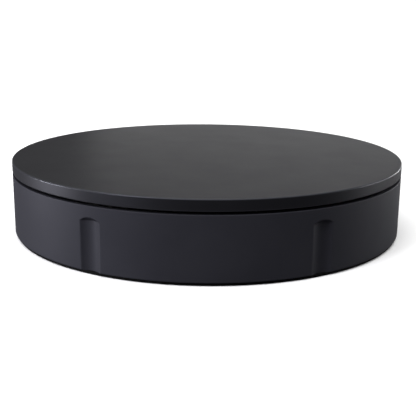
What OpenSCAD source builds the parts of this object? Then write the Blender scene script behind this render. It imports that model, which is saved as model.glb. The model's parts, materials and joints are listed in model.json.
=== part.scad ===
// Motorised turntable for scanning and photographing small objects.
// Millimetres. +Z is up, the origin is the centre of the foot ring's underside, and the connectors face +Y.

/* [Overall] */
// Diameter of the housing and of the platter
body_d = 200; // [180:1:260]
// Height of the fluted housing, without the foot ring below it
housing_h = 29.5; // [29:0.5:45]
// Open gap between the housing and the platter
seam_gap = 1.4; // [1.2:0.1:2.4]
// Thickness of the platter at its rim
platter_t = 5.4; // [5:0.1:9]

/* [Housing] */
// Thickness of the round wall
wall_t = 3.5; // [3:0.1:6]
// Width of the flange that the wall turns in to at the top, measured from the outside
rim_w = 16.2; // [15.5:0.1:24]
// Thickness of that flange
rim_t = 3; // [2.6:0.1:5]
// Number of grip flutes round the wall
flute_count = 6; // [3:1:12]
// Width of a flute across its mouth
flute_w = 10.6; // [6:0.1:16]
// Depth of a flute at its middle
flute_depth = 1.8; // [0.8:0.1:2.2]
// Plain wall left above the flutes
flute_land = 5; // [3:0.1:9]
// Chamfer on the outer edges of the housing and the platter
edge_chamfer = 0.5; // [0.2:0.05:0.8]

/* [Foot ring and bottom plate] */
// Height of the rubber foot ring below the housing
foot_h = 1.4; // [1:0.1:4]
// Width of the foot ring
foot_w = 6.2; // [4:0.1:8]
// How far the foot ring stays inside the housing's edge
foot_inset = 0.8; // [0.4:0.1:3]
// Thickness of the bottom plate
floor_t = 1.8; // [1.8:0.1:4]
// Width of one cooling slot in the bottom plate
vent_w = 2.2; // [1:0.1:3.5]
// Length of one cooling slot
vent_l = 26; // [10:1:40]

/* [Connector recess] */
// Width of the recess at the back
recess_w = 48; // [46:1:60]
// Depth of the recess, from the housing's outermost point to the panel
recess_depth = 6.5; // [5:0.1:10]
// Thickness of the connector panel
panel_t = 1.5; // [1:0.1:2.5]

/* [Chassis] */
// Thickness of the deck plate
deck_t = 2.6; // [2.2:0.1:4]
// How far the deck lies below the top of the housing
deck_drop = 0.9; // [0.5:0.1:1.6]
// Radius of a screw post
post_r = 4; // [3.5:0.1:5]

/* [Ring bearing under the platter] */
// Diameter of a ball
ball_d = 4; // [3.4:0.1:5]
// Distance between neighbouring balls along the track
ball_spacing = 15; // [8:0.5:30]
// Width of a race
race_w = 12; // [10:0.5:16]
// Thickness of a race
race_t = 1.8; // [1.6:0.1:2.5]
// Depth of the ball groove in each race
groove_depth = 1.05; // [0.8:0.05:1.2]

/* [Spindle] */
// Diameter of the spindle in its bearings
spindle_d = 12; // [10:0.2:14.4]
// Outer diameter of the hub's ball bearing
hub_bearing_od = 24; // [22:0.5:30]
// Width of the hub's ball bearing
hub_bearing_w = 6; // [5:0.5:8]
// Diameter of a ball in the hub's bearing
hub_ball_d = 3; // [2:0.1:3.4]
// Balls in the hub's bearing
hub_balls = 10; // [6:1:11]

/* [Gears] */
// Tooth module
tooth_module = 1; // [0.8:0.05:1.1]
// Teeth on the wheel that turns the spindle
wheel_teeth = 90; // [78:2:108]
// Teeth on the motor's pinion
pinion_teeth = 18; // [17:1:24]
// Width of the wheel's teeth
gear_face = 4; // [3:0.1:4.8]
// Total play between meshing teeth, along the pitch circle
backlash = 0.16; // [0.1:0.01:0.3]

/* [Motor] */
// Diameter of the motor's can
motor_d = 36; // [32:0.5:38]
// Diameter of the motor's shaft
motor_shaft_d = 5; // [4:0.5:6]
// Thickness of the motor's mounting plate
motor_plate_t = 1.5; // [1.2:0.1:2.5]

/* [Control board] */
// Width of the board
board_w = 64; // [60:1:66]
// Depth of the board
board_l = 38; // [34:1:42]
// Thickness of the board
board_t = 1.6; // [1:0.1:2]

/* [Hidden] */
$fn = 72;

eps = 0.01;
fit_gap = 0.05; // radial play of a turning or pushed fit
clear_gap = 0.2; // play of a piece that is dropped into place
air_gap = 0.8; // space that is kept free round the turning gears and the motor
body_r = body_d / 2;

// Levels, from the table up.
wall_z0 = foot_h;
wall_z1 = foot_h + housing_h;
floor_z1 = wall_z0 + floor_t;
rim_z0 = wall_z1 - rim_t;
deck_z1 = wall_z1 - deck_drop;
deck_z0 = deck_z1 - deck_t;
step_z1 = rim_z0;
step_z0 = step_z1 - deck_t;
platter_z0 = wall_z1 + seam_gap;
platter_z1 = platter_z0 + platter_t;
skin_t = 2.9;
skin_z0 = platter_z1 - skin_t;

// Radii of the housing and the chassis.
inner_r = body_r - wall_t;
rim_inner_r = body_r - rim_w;
deck_r = rim_inner_r - 0.3;
step_r = inner_r - 0.3;
post_ring_r = body_r - rim_w + 4.2;
foot_outer_r = body_r - foot_inset;
foot_rib_r = foot_outer_r - foot_w / 2 - 1;
foot_rib_w = 1.2;
foot_rib_h = 0.8;

// Flutes: a cutter of this radius, run up the wall from below, ends in a 45 degree cone.
flute_r = (pow(flute_w / 2, 2) + pow(flute_depth, 2)) / (2 * flute_depth);
flute_axis_r = body_r - flute_depth + flute_r;
flute_z1 = wall_z1 - flute_land - flute_depth;

// Screws.
case_screw_count = 6;
m3_r = 1.5;
m3_head_r = 3;
m3_sink = 1.6;
m2_r = 1;
m2_head_r = 1.9;
m2_head_h = 1.4;

// Ring bearing.
race_r = deck_r - 3.5 - race_w / 2;
race_gap = ball_d - 2 * groove_depth;
upper_race_z0 = skin_z0 - race_t;
lower_race_z1 = upper_race_z0 - race_gap;
race_seat_z = lower_race_z1 - race_t;
ball_z = lower_race_z1 + race_gap / 2;
ball_play = 0.1;
ball_count = floor(2 * PI * race_r / ball_spacing);
ball_cage_w = 7;
ball_cage_t = 1;

// Gears.
pressure_angle = 20;
wheel_r = tooth_module * wheel_teeth / 2;
pinion_r = tooth_module * pinion_teeth / 2;
pinion_turn = 90 + (0.75 * wheel_teeth - 0.5) * 360 / pinion_teeth; // puts a tooth into the wheel's gap
motor_y = -(wheel_r + pinion_r);
gear_z0 = floor_z1 + air_gap;
gear_z1 = gear_z0 + gear_face;
wheel_hub_r = 12;
wheel_hub_z1 = gear_z1 + 1;
wheel_sink_r = 8;
wheel_sink_h = 2.2;
web_groove = 0.8;

// Spindle and hub.
spindle_r = spindle_d / 2;
spindle_end_r = spindle_r - 1;
spindle_flat = spindle_end_r - 0.8;
spindle_end_z = gear_z0 + wheel_sink_h + 0.2;
spindle_flange_r = 24;
spindle_flange_t = 2;
spindle_flange_z0 = deck_z1 + 1.4;
spindle_boss_z0 = spindle_flange_z0 + spindle_flange_t;
spindle_screw_ring = 16;
spindle_spigot_h = 1.2;
hub_bearing_or = hub_bearing_od / 2;
hub_bearing_z0 = deck_z1 - hub_bearing_w;
hub_ball_z = deck_z1 - hub_bearing_w / 2;
hub_ball_track_r = (spindle_r + hub_bearing_or) / 2;
hub_race_land = hub_ball_d * 0.3;
hub_cage_h = hub_ball_d + 1;
hub_r = hub_bearing_or + 3.5;
bush_wall = 2;
bush_flange_t = 1.2;
bush_r = spindle_r + bush_wall;
bush_z0 = wheel_hub_z1 + clear_gap;
hub_z0 = bush_z0 + bush_flange_t;
bush_z1 = hub_bearing_z0 - 3;
spindle_shoulder_r = spindle_r + bush_wall;

// Motor.
motor_r = motor_d / 2;
motor_can_t = 0.8;
motor_z0 = gear_z1 + 0.6;
motor_reach = motor_r + wheel_r + pinion_r + air_gap;
motor_z1 = (motor_reach > deck_r - 3 ? step_z0 : deck_z0) - air_gap;
motor_can_z0 = motor_z0 + motor_plate_t;
motor_can_z1 = motor_z1 - motor_plate_t;
motor_ear_x = motor_r + 4;
motor_bearing_r = motor_shaft_d / 2 + 2.5;
motor_bearing_l = 3.5;
motor_boss_r = motor_bearing_r + 2;
motor_bearing_low_z = motor_z0 + 0.5;
motor_bearing_high_z = motor_z1 - 0.5 - motor_bearing_l;
motor_rotor_r = motor_r * 0.55;
motor_core_z0 = motor_bearing_low_z + motor_bearing_l + 0.5;
motor_core_z1 = motor_bearing_high_z - 0.5;
motor_shaft_z0 = gear_z0 - 0.1;
motor_shaft_z1 = motor_z1 - 0.6;
motor_poles = 8;
motor_connector_angle = 135;
motor_connector_z = (motor_can_z0 + motor_can_z1) / 2;

// Connector panel and board.
panel_y1 = body_r - recess_depth;
panel_y0 = panel_y1 - panel_t;
frame_t = 4.5;
slot_depth = 1.5;
board_z0 = gear_z1 + 1.8;
board_z1 = board_z0 + board_t;
board_y1 = panel_y0 - 2.9;
board_y0 = board_y1 - board_l;
board_post_x = board_w / 2 - 4;
board_post_y = [board_y0 + 4, board_y1 - 4];
board_post_r = 3;
driver_at = [-board_w / 2 + 17.5, board_y1 - 21.6];
driver_t = 1;
dc_x = -15;
dc_body = [9, 14, 11];
dc_z = board_z1 + 6.5;
dc_nose_r = 4.1;
recess_z1 = max(step_z0 - 2.6, dc_z + dc_nose_r + 0.5);
dc_bore_r = 3.2;
dc_pin_r = 1;
usb_size = [8.94, 7.3, 3.26];
usb_shell_t = 0.3;
usb_z = board_z1 + usb_size[2] / 2;
switch_x = 14;
switch_size = [13, 11, 8.5];
switch_bezel = [15, 1.2, 10.5];
switch_z = board_z1 + 0.35 + switch_size[2] / 2;
rocker_half_w = 5.3;
rocker_h = 7;
rocker_tilt = 10;
rocker_y = panel_y1 - 0.8;
rocker_pin_r = 0.9;

// Motor cable: a flat cable of four wires, along this route from the motor to the board.
cable_wires = 4;
cable_wire_d = 1.3;
cable_clip_z = deck_z0 - 4.6;
cable_x = -board_w / 2 - 8;
cable_plug_x = -board_w / 2 + 4;
cable_end_y = board_y0 + 14;
cable_clip_y = [-7, cable_end_y - 37];
motor_exit = concat([0, motor_y] + polar(motor_r + 7.5, motor_connector_angle), [motor_connector_z]);
cable_route = [
  motor_exit,
  motor_exit + [-1, 1, 0],
  motor_exit + [-2, 2, 0],
  motor_exit + [-6, 6.5, 1.4],
  motor_exit + [-10.5, 12, 3.2],
  [(motor_exit[0] + cable_x) / 2 - 6, (motor_exit[1] + cable_clip_y[0]) / 2 + 6, cable_clip_z - 0.5],
  [cable_x + 1.5, cable_clip_y[0], cable_clip_z],
  [cable_x, (cable_clip_y[0] + cable_clip_y[1]) / 2, cable_clip_z],
  [cable_x, cable_clip_y[1], cable_clip_z],
  [cable_x + 0.2, cable_end_y - 29, cable_clip_z - 1.4],
  [cable_x + 0.6, cable_end_y - 20, (cable_clip_z + board_z1) / 2 + 1],
  [cable_x + 1.5, cable_end_y - 11, board_z1 + 4],
  [cable_x + 3.5, cable_end_y - 4, board_z1 + 2.6],
  [cable_plug_x - 3.4, cable_end_y, board_z1 + 2.4],
  [cable_plug_x - 2, cable_end_y, board_z1 + 2.4],
  [cable_plug_x - 0.6, cable_end_y, board_z1 + 2.4]
];
clip_points = [6, 8];
clip_size = [9, 5];

// Switch leads, from the two terminals to the header on the board.
lead_d = 1.3;
terminal_l = 3.4;
terminal_step = 3.6;
terminal_y0 = panel_y1 - switch_size[1] - terminal_l;
lead_header_y = board_y1 - 24;

// ---------------------------------------------------------------- helpers

function polar(r, a) = [r * cos(a), r * sin(a)];
function unit(v) = v / norm(v);
function involute(a) = tan(a) * 180 / PI - a;

// Points up one flank of a tooth, as [radius, half angle of the tooth there].
function flank(teeth, steps = 3) =
  let (
    pitch = tooth_module * teeth / 2,
    base = pitch * cos(pressure_angle),
    root = pitch - 1.25 * tooth_module,
    tip = pitch + tooth_module,
    start = max(base, root),
    half = 90 / teeth - backlash / 4 / pitch * 180 / PI + involute(pressure_angle)
  )
  concat(
    base > root ? [[root, half]] : [],
    [for (i = [0:steps])
      let (r = start + (tip - start) * i / steps)
      [r, half - involute(acos(min(1, base / r)))]]
  );

function gear_outline(teeth) =
  let (side = flank(teeth), n = len(side) - 1)
  [for (k = [0:teeth - 1])
    let (mid = k * 360 / teeth)
    each concat(
      [for (i = [0:n]) polar(side[i][0], mid - side[i][1])],
      [for (i = [n:-1:0]) polar(side[i][0], mid + side[i][1])]
    )];

// A smooth line through the points of a route.
function catmull(p0, p1, p2, p3, t) =
  0.5 * (2 * p1 + (p2 - p0) * t + (2 * p0 - 5 * p1 + 4 * p2 - p3) * t * t
    + (3 * p1 - p0 - 3 * p2 + p3) * t * t * t);

function smooth(route, steps) =
  let (n = len(route) - 1)
  concat(
    [for (i = [0:n - 1], k = [0:steps - 1])
      catmull(route[max(0, i - 1)], route[i], route[i + 1], route[min(n, i + 2)], k / steps)],
    [route[n]]
  );

// A flat or round tube along a line that never runs straight up. section holds points as [side, up].
module sweep(line, section) {
  n = len(line);
  m = len(section);
  rings = [for (i = [0:n - 1])
    let (
      along = unit(line[min(n - 1, i + 1)] - line[max(0, i - 1)]),
      side = unit(cross(along, [0, 0, 1])),
      up = cross(side, along)
    )
    each [for (s = section) line[i] + side * s[0] + up * s[1]]];
  walls = [for (i = [0:n - 2], j = [0:m - 1])
    let (a = i * m + j, b = i * m + (j + 1) % m)
    each [[a, a + m, b], [b, a + m, b + m]]];
  polyhedron(rings, concat(walls, [[for (j = [0:m - 1]) j], [for (j = [m - 1:-1:0]) (n - 1) * m + j]]));
}

module ring(r_out, r_in, z0, z1) {
  rotate_extrude() translate([r_in, z0]) square([r_out - r_in, z1 - z0]);
}

module disc(r, z0, z1) {
  translate([0, 0, z0]) cylinder(r = r, h = z1 - z0);
}

module round_array(count, r, start = 0) {
  for (i = [0:count - 1]) rotate(start + i * 360 / count) translate([r, 0, 0]) children();
}

// Stud with a countersunk head whose face is at the origin and whose tip points up.
module sunk_screw(r, head_r, sink, length) {
  cylinder(r1 = head_r, r2 = r, h = sink);
  cylinder(r = r, h = length);
}

// Hex socket in a screw head, cut upwards from the origin.
module hex_socket(r, depth) {
  translate([0, 0, -eps]) cylinder(r = r, h = depth + eps, $fn = 6);
}

// Pan-head screw whose head hangs below the origin and whose tip points up.
module pan_screw(r, head_r, head_h, length) {
  difference() {
    translate([0, 0, -head_h]) cylinder(r = head_r, h = head_h);
    translate([0, 0, -head_h]) hex_socket(head_r * 0.5, head_h * 0.6);
  }
  cylinder(r = r, h = length);
}

// A block of the given size whose underside is at z0 and whose plan centre is at [x, y].
module block(x, y, z0, size) {
  translate([x - size[0] / 2, y - size[1] / 2, z0]) cube(size);
}

// A bar with round ends, seen from the front (x across, z up), that runs along +Y from y0 to y1.
module oval_bar(x, z, w, h, y0, y1) {
  translate([x, y1, z]) rotate([90, 0, 0]) linear_extrude(y1 - y0) {
    square([w - h, h], center = true);
    for (s = [-1, 1]) translate([s * (w - h) / 2, 0]) circle(r = h / 2);
  }
}

// ---------------------------------------------------------------- housing

module flute_cutter() {
  translate([0, 0, wall_z0 - 1]) cylinder(r = flute_r, h = flute_z1 - wall_z0 + 1);
  translate([0, 0, flute_z1]) cylinder(r1 = flute_r, r2 = 0, h = flute_r);
}

module wall_section() {
  c = edge_chamfer;
  polygon([
    [inner_r, wall_z0], [body_r - c, wall_z0], [body_r, wall_z0 + c], [body_r, wall_z1 - c],
    [body_r - c, wall_z1], [rim_inner_r, wall_z1], [rim_inner_r, rim_z0], [inner_r, rim_z0]
  ]);
}

// Two cheeks and a lintel that stand behind the wall and hold the connector panel in a slot.
module panel_frame() {
  intersection() {
    translate([-recess_w / 2 - frame_t, panel_y0 - 1.5, floor_z1])
      cube([recess_w + 2 * frame_t, body_r, step_z0 - clear_gap - floor_z1]);
    disc(inner_r + 1, floor_z1, step_z0);
  }
}

module housing() {
  color("#26282c") difference() {
    union() {
      rotate_extrude() wall_section();
      panel_frame();
    }
    round_array(flute_count, flute_axis_r) flute_cutter();
    translate([-recess_w / 2, panel_y0 - 10, 0]) cube([recess_w, body_r, recess_z1]);
    translate([-recess_w / 2 - slot_depth, panel_y0 - 0.1, 0])
      cube([recess_w + 2 * slot_depth, panel_t + clear_gap, recess_z1 + slot_depth]);
    round_array(case_screw_count, post_ring_r) disc(m3_r, rim_z0 - 1, rim_z0 + rim_t - 0.8);
  }
}

// ---------------------------------------------------------------- foot ring and bottom plate

module foot_ring() {
  color("#101011") {
    ring(foot_outer_r, foot_outer_r - foot_w, 0, foot_h);
    ring(foot_rib_r + foot_rib_w, foot_rib_r, foot_h, foot_h + foot_rib_h);
  }
}

module vent_slots(y) {
  for (i = [-2:2]) {
    block(0, y + i * 7, wall_z0 - 1, [vent_l - vent_w, vent_w, floor_t + 2]);
    for (s = [-1, 1])
      translate([s * (vent_l - vent_w) / 2, y + i * 7, wall_z0 - 1]) cylinder(r = vent_w / 2, h = floor_t + 2);
  }
}

module bottom_plate() {
  color("#1c1d20") difference() {
    union() {
      disc(inner_r - clear_gap, wall_z0, floor_z1);
      intersection() {
        disc(body_r - edge_chamfer, wall_z0, floor_z1);
        block(0, body_r - 10, wall_z0, [recess_w - 2 * clear_gap, 22, floor_t]);
      }
    }
    ring(foot_rib_r + foot_rib_w, foot_rib_r, wall_z0 - 1, foot_h + foot_rib_h);
    round_array(case_screw_count, post_ring_r) {
      translate([0, 0, wall_z0]) cylinder(r1 = m3_head_r + fit_gap, r2 = m3_r + fit_gap, h = m3_sink);
      disc(m3_r + clear_gap, wall_z0 - 1, floor_z1 + 1);
    }
    vent_slots(motor_y);
    vent_slots((board_y0 + board_y1) / 2);
  }
}

module case_screws() {
  color("#8d8f93") round_array(case_screw_count, post_ring_r) translate([0, 0, wall_z0])
    difference() {
      sunk_screw(m3_r, m3_head_r, m3_sink, rim_z0 + rim_t - 0.8 - wall_z0);
      hex_socket(m3_head_r * 0.38, 1.1);
    }
}

// ---------------------------------------------------------------- chassis

module chassis_section() {
  polygon([
    [deck_r - 3, step_z0], [step_r, step_z0], [step_r, step_z1], [deck_r, step_z1], [deck_r, deck_z1],
    [0, deck_z1], [0, deck_z0], [deck_r - 3, deck_z0]
  ]);
}

module chassis_posts() {
  round_array(case_screw_count, post_ring_r) disc(post_r, floor_z1, step_z0 + eps);
  for (s = [-1, 1]) {
    translate([s * motor_ear_x, motor_y, 0]) disc(post_r, motor_can_z0, deck_z0 + eps);
    for (y = board_post_y) translate([s * board_post_x, y, 0]) disc(board_post_r, board_z1, deck_z0 + eps);
  }
}

// Ribs under the deck, from the hub to the step.
module chassis_ribs() {
  rib_t = 2;
  rib_h = 3;
  round_array(6, 0)
    translate([hub_r - 1, -rib_t / 2, deck_z0 - rib_h]) cube([deck_r - hub_r - 1.5, rib_t, rib_h + eps]);
}

module chassis() {
  color("#3a3d42") difference() {
    union() {
      rotate_extrude() chassis_section();
      disc(hub_r, hub_z0, deck_z1);
      ring(race_r + race_w / 2 + 1, race_r - race_w / 2 - 1, deck_z0, race_seat_z);
      chassis_posts();
      chassis_ribs();
    }
    ring(race_r + race_w / 2 + 0.1, race_r - race_w / 2 - 0.1, race_seat_z, deck_z1 + 1);
    disc(hub_bearing_or, hub_bearing_z0, deck_z1 + 1);
    disc(hub_bearing_or - 1.5, bush_z1, deck_z1);
    disc(bush_r, hub_z0 - 1, deck_z1);
    round_array(case_screw_count, post_ring_r) disc(m3_r + clear_gap, floor_z1 - 1, step_z1 + 1);
    for (s = [-1, 1]) {
      translate([s * motor_ear_x, motor_y, 0]) disc(m3_r, motor_can_z0 - 1, motor_can_z0 + 9);
      for (y = board_post_y) translate([s * board_post_x, y, 0]) disc(m2_r, board_z1 - 1, board_z1 + 7);
    }
  }
}

// ---------------------------------------------------------------- connector panel and what is in it

module connector_panel() {
  color("#1c1d20") difference() {
    translate([-recess_w / 2 - slot_depth + 0.1, panel_y0, floor_z1 + 0.1])
      cube([recess_w + 2 * slot_depth - clear_gap, panel_t, recess_z1 + slot_depth - 0.3 - floor_z1]);
    translate([dc_x, panel_y1 + 1, dc_z]) rotate([90, 0, 0]) cylinder(r = dc_nose_r + clear_gap, h = panel_t + 2);
    oval_bar(0, usb_z, usb_size[0] + 2 * clear_gap, usb_size[2] + 2 * clear_gap, panel_y0 - 1, panel_y1 + 1);
    block(switch_x, (panel_y0 + panel_y1) / 2, switch_z - switch_size[2] / 2 - 0.1,
      [switch_size[0] + clear_gap, panel_t + 2, switch_size[2] + clear_gap]);
  }
}

module dc_socket() {
  color("#141416") difference() {
    union() {
      block(dc_x, panel_y0 - 0.4 - dc_body[1] / 2, board_z1, dc_body);
      translate([dc_x, panel_y1 - 0.1, dc_z]) rotate([90, 0, 0]) cylinder(r = dc_nose_r, h = panel_t + 1);
    }
    translate([dc_x, panel_y1 + 1, dc_z]) rotate([90, 0, 0]) cylinder(r = dc_bore_r, h = 11);
  }
}

module dc_socket_pin() {
  tip_y = panel_y1 - 1.1;
  color("#c9cacd") translate([dc_x, tip_y, dc_z]) rotate([90, 0, 0]) cylinder(r = dc_pin_r, h = tip_y - panel_y1 + 10);
}

module usb_socket() {
  color("#b9bbbf") difference() {
    oval_bar(0, usb_z, usb_size[0], usb_size[2], panel_y1 - 0.4 - usb_size[1], panel_y1 - 0.4);
    oval_bar(0, usb_z, usb_size[0] - 2 * usb_shell_t, usb_size[2] - 2 * usb_shell_t,
      panel_y1 - 0.4 - usb_size[1] + 1, panel_y1 + 1);
  }
}

module usb_tongue() {
  color("#17181a") block(0, panel_y1 - 0.4 - usb_size[1] / 2, usb_z - 0.35, [6.6, usb_size[1] - 2, 0.7]);
}

module switch_body() {
  cavity_h = rocker_h + 0.3;
  color("#151517") difference() {
    union() {
      block(switch_x, panel_y1 - switch_size[1] / 2, switch_z - switch_size[2] / 2, switch_size);
      block(switch_x, panel_y1 + switch_bezel[1] / 2, switch_z - switch_bezel[2] / 2, switch_bezel);
    }
    block(switch_x, rocker_y + 1.6, switch_z - cavity_h / 2, [2 * rocker_half_w + 1.2, 10, cavity_h]);
    translate([switch_x, rocker_y, switch_z - 5]) cylinder(r = rocker_pin_r + fit_gap, h = 10);
  }
}

module switch_terminals() {
  color("#c8a860") for (s = [-1, 1])
    block(switch_x + s * terminal_step, terminal_y0 + terminal_l / 2, switch_z - 1.4, [0.8, terminal_l, 2.8]);
}

module rocker() {
  w = rocker_half_w;
  color("#1b1b1d") translate([switch_x, rocker_y, switch_z]) rotate(-rocker_tilt) {
    translate([0, 0, -rocker_h / 2]) linear_extrude(rocker_h)
      polygon([[-w, -0.2], [-w, 2.9], [0, 2], [w, 2.9], [w, -0.2], [2, -2.2], [-2, -2.2]]);
    translate([0, 0, -rocker_h / 2 - 0.5]) cylinder(r = rocker_pin_r, h = rocker_h + 1);
  }
}

// ---------------------------------------------------------------- control board

module control_board() {
  color("#1f5a3a") difference() {
    block(0, (board_y0 + board_y1) / 2, board_z0, [board_w, board_l, board_t]);
    for (s = [-1, 1], y = board_post_y) translate([s * board_post_x, y, 0]) disc(m2_r + clear_gap, 0, board_z1 + 1);
    round_array(case_screw_count, post_ring_r) disc(post_r + 1, 0, board_z1 + 1);
  }
}

module board_screws() {
  color("#8d8f93") for (s = [-1, 1], y = board_post_y)
    translate([s * board_post_x, y, board_z0]) pan_screw(m2_r, m2_head_r, m2_head_h, 8);
}

module controller_chip() {
  color("#202124") block(-2, board_y1 - 25, board_z1, [9, 9, 1.2]);
}

module motor_driver() {
  color("#202124") block(driver_at[0], driver_at[1], board_z1, [7, 7, driver_t]);
}

module driver_heatsink() {
  base_t = 1.2;
  color("#a7a9ad") {
    block(driver_at[0], driver_at[1], board_z1 + driver_t, [9, 9, base_t]);
    for (i = [-2:2]) block(driver_at[0] + i * 2, driver_at[1], board_z1 + driver_t + base_t - eps, [0.8, 9, 4]);
  }
}

module capacitors() {
  color("#2b2f6b") for (s = [-1, 1])
    translate([s * (board_w / 2 - 6), board_y1 - 12.6, board_z1]) {
      cylinder(r = 4, h = 1.2);
      cylinder(r = 3.6, h = 2);
      translate([0, 0, 2]) cylinder(r = 4, h = 7);
    }
}

// Small parts that are soldered flat on the board.
module board_parts() {
  color("#3c3226") {
    for (i = [0:5]) block(-9 + i * 3.2, board_y1 - 33.5, board_z1, [1.2, 2, 0.6]);
    for (i = [0:3]) block(4.6, board_y1 - 31 + i * 3, board_z1, [2, 1.2, 0.6]);
    block(3, board_y1 - 17, board_z1, [5, 3.2, 1.1]);
    block(-6, board_y1 - 13, board_z1, [4, 5, 1.5]);
    block(21, board_y1 - 30, board_z1, [6, 6, 3]);
  }
}

// Header on the board and the plug in it, both open towards -X.
module motor_header() {
  color("#e6e2d6") difference() {
    block(cable_plug_x + 4.5, cable_end_y, board_z1, [7, 12, 5]);
    block(cable_plug_x + 3, cable_end_y, board_z1 + 0.8, [8, 9.6, 3.4]);
  }
}

// One plug in the board's header and one in the motor's connector.
module cable_plugs() {
  color("#f1eee4") {
    block(cable_plug_x + 2.9, cable_end_y, board_z1 + 0.9, [7, 9.2, 3.2]);
    at_motor() rotate(motor_connector_angle)
      translate([motor_r + 1.6, -3.4, motor_connector_z - 1.4]) cube([5.9, 6.8, 2.8]);
  }
}

module motor_cable() {
  w = cable_wires * cable_wire_d / 2;
  h = cable_wire_d / 2;
  line = smooth(cable_route, 3);
  color("#c9c5bb") sweep(line, [[-w, -0.3], [-w + 0.35, -h], [w - 0.35, -h], [w, -0.3], [w, 0.3],
    [w - 0.35, h], [-w + 0.35, h], [-w, 0.3]]);
}

module cable_clips() {
  h = deck_z0 - cable_clip_z;
  color("#dcd9d0") for (i = clip_points)
    let (p = cable_route[i], along = cable_route[i + 1] - cable_route[i - 1])
    translate([p[0], p[1], 0]) rotate(atan2(along[1], along[0]) - 90) difference() {
      block(0, 0, cable_clip_z - 2.2, [clip_size[0], clip_size[1], h + 2.2 - eps]);
      block(0, 0, cable_clip_z - 1.2, [clip_size[0] - 2, clip_size[1] + 2, 2.4]);
    }
}

module switch_header() {
  color("#e6e2d6") block(switch_x - 3.5, lead_header_y, board_z1, [8, 5, 4]);
}

module switch_leads() {
  r = lead_d / 2;
  section = [for (a = [0:45:315]) polar(r, a)];
  color("#b23a30") for (s = [-1, 1]) {
    x0 = switch_x + s * terminal_step;
    x1 = switch_x - 3.5 + s * 2;
    y1 = lead_header_y + 2.5;
    z1 = board_z1 + 2.4;
    route = [
      [x0, terminal_y0, switch_z], [x0, terminal_y0 - 1, switch_z], [x0, terminal_y0 - 2, switch_z],
      [(x0 + x1) / 2, (terminal_y0 + y1) / 2, (switch_z + z1) / 2],
      [x1, y1 + 2, z1], [x1, y1 + 1, z1], [x1, y1, z1]
    ];
    sweep(smooth(route, 3), section);
  }
}

// ---------------------------------------------------------------- motor

module at_motor() {
  translate([0, motor_y, 0]) children();
}

module motor_plate() {
  color("#9a9ca1") at_motor() difference() {
    union() {
      disc(motor_r, motor_z0, motor_can_z0);
      block(0, 0, motor_z0, [2 * motor_ear_x, 8, motor_plate_t]);
      for (s = [-1, 1]) translate([s * motor_ear_x, 0, 0]) disc(4, motor_z0, motor_can_z0);
      disc(motor_boss_r, motor_z0, motor_bearing_low_z + motor_bearing_l);
    }
    disc(motor_bearing_r, motor_bearing_low_z, motor_z1);
    disc(motor_shaft_d / 2 + 0.5, 0, motor_z1);
    for (s = [-1, 1]) translate([s * motor_ear_x, 0, 0]) disc(m3_r + 0.1, 0, motor_z1);
  }
}

module motor_can() {
  color("#2a2b2e") at_motor() ring(motor_r, motor_r - motor_can_t, motor_can_z0, motor_can_z1);
}

module motor_cap() {
  color("#9a9ca1") at_motor() difference() {
    union() {
      disc(motor_r, motor_can_z1, motor_z1);
      disc(motor_boss_r, motor_bearing_high_z, motor_z1);
    }
    disc(motor_bearing_r, 0, motor_z1 - 0.5);
  }
}

module motor_bearings() {
  color("#c2c4c8") at_motor() for (z = [motor_bearing_low_z, motor_bearing_high_z])
    ring(motor_bearing_r, motor_shaft_d / 2 + fit_gap, z, z + motor_bearing_l);
}

module motor_slots(gap) {
  inner = motor_rotor_r + 1.6 - gap;
  at_motor() round_array(motor_poles, inner)
    translate([0, -1.6 - gap, motor_core_z0 - 0.6 + gap])
      cube([4 + 2 * gap, 3.2 + 2 * gap, motor_core_z1 - motor_core_z0 + 1.2 - 2 * gap]);
}

module motor_stator() {
  color("#6c6e73") difference() {
    at_motor() ring(motor_r - motor_can_t, motor_rotor_r + 0.4, motor_core_z0 + 0.4, motor_core_z1 - 0.4);
    motor_slots(0.1);
  }
}

module motor_coils() {
  color("#b06a34") motor_slots(0);
}

module motor_connector() {
  color("#f1eee4") at_motor() rotate(motor_connector_angle) difference() {
    translate([motor_r - 2, -5.5, motor_connector_z - 3]) cube([8.5, 11, 6]);
    disc(motor_r, 0, motor_z1);
    translate([motor_r + 1.5, -3.5, motor_connector_z - 1.5]) cube([8, 7, 3]);
  }
}

module motor_screws() {
  color("#8d8f93") at_motor() for (s = [-1, 1])
    translate([s * motor_ear_x, 0, motor_z0]) pan_screw(m3_r, 2.75, 1.7, motor_plate_t + 8);
}

module motor_rotor() {
  color("#55575c") at_motor() ring(motor_rotor_r, motor_shaft_d / 2, motor_core_z0, motor_core_z1);
}

module motor_shaft() {
  color("#c9cacd") at_motor() disc(motor_shaft_d / 2, motor_shaft_z0, motor_shaft_z1);
}

module pinion() {
  color("#c9a44a") at_motor() rotate(pinion_turn) difference() {
    translate([0, 0, gear_z0 + 0.1]) linear_extrude(gear_face - 0.2) polygon(gear_outline(pinion_teeth));
    disc(motor_shaft_d / 2, 0, motor_z1);
  }
}

// ---------------------------------------------------------------- ring bearing and hub bearing

module ball_track() {
  rotate_extrude() translate([race_r, ball_z]) circle(r = ball_d / 2 + ball_play);
}

module lower_race() {
  color("#b4b6ba") difference() {
    ring(race_r + race_w / 2, race_r - race_w / 2, race_seat_z, lower_race_z1);
    ball_track();
  }
}

module upper_race() {
  color("#b4b6ba") difference() {
    ring(race_r + race_w / 2, race_r - race_w / 2, upper_race_z0, skin_z0);
    ball_track();
  }
}

module ball_ring_cage() {
  color("#e3dccb") difference() {
    ring(race_r + ball_cage_w / 2, race_r - ball_cage_w / 2, ball_z - ball_cage_t / 2, ball_z + ball_cage_t / 2);
    round_array(ball_count, race_r) disc(ball_d / 2 + ball_play, ball_z - 1, ball_z + 1);
  }
}

module ball_ring_balls() {
  color("#d5d7da") round_array(ball_count, race_r) translate([0, 0, ball_z]) sphere(r = ball_d / 2);
}

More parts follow.
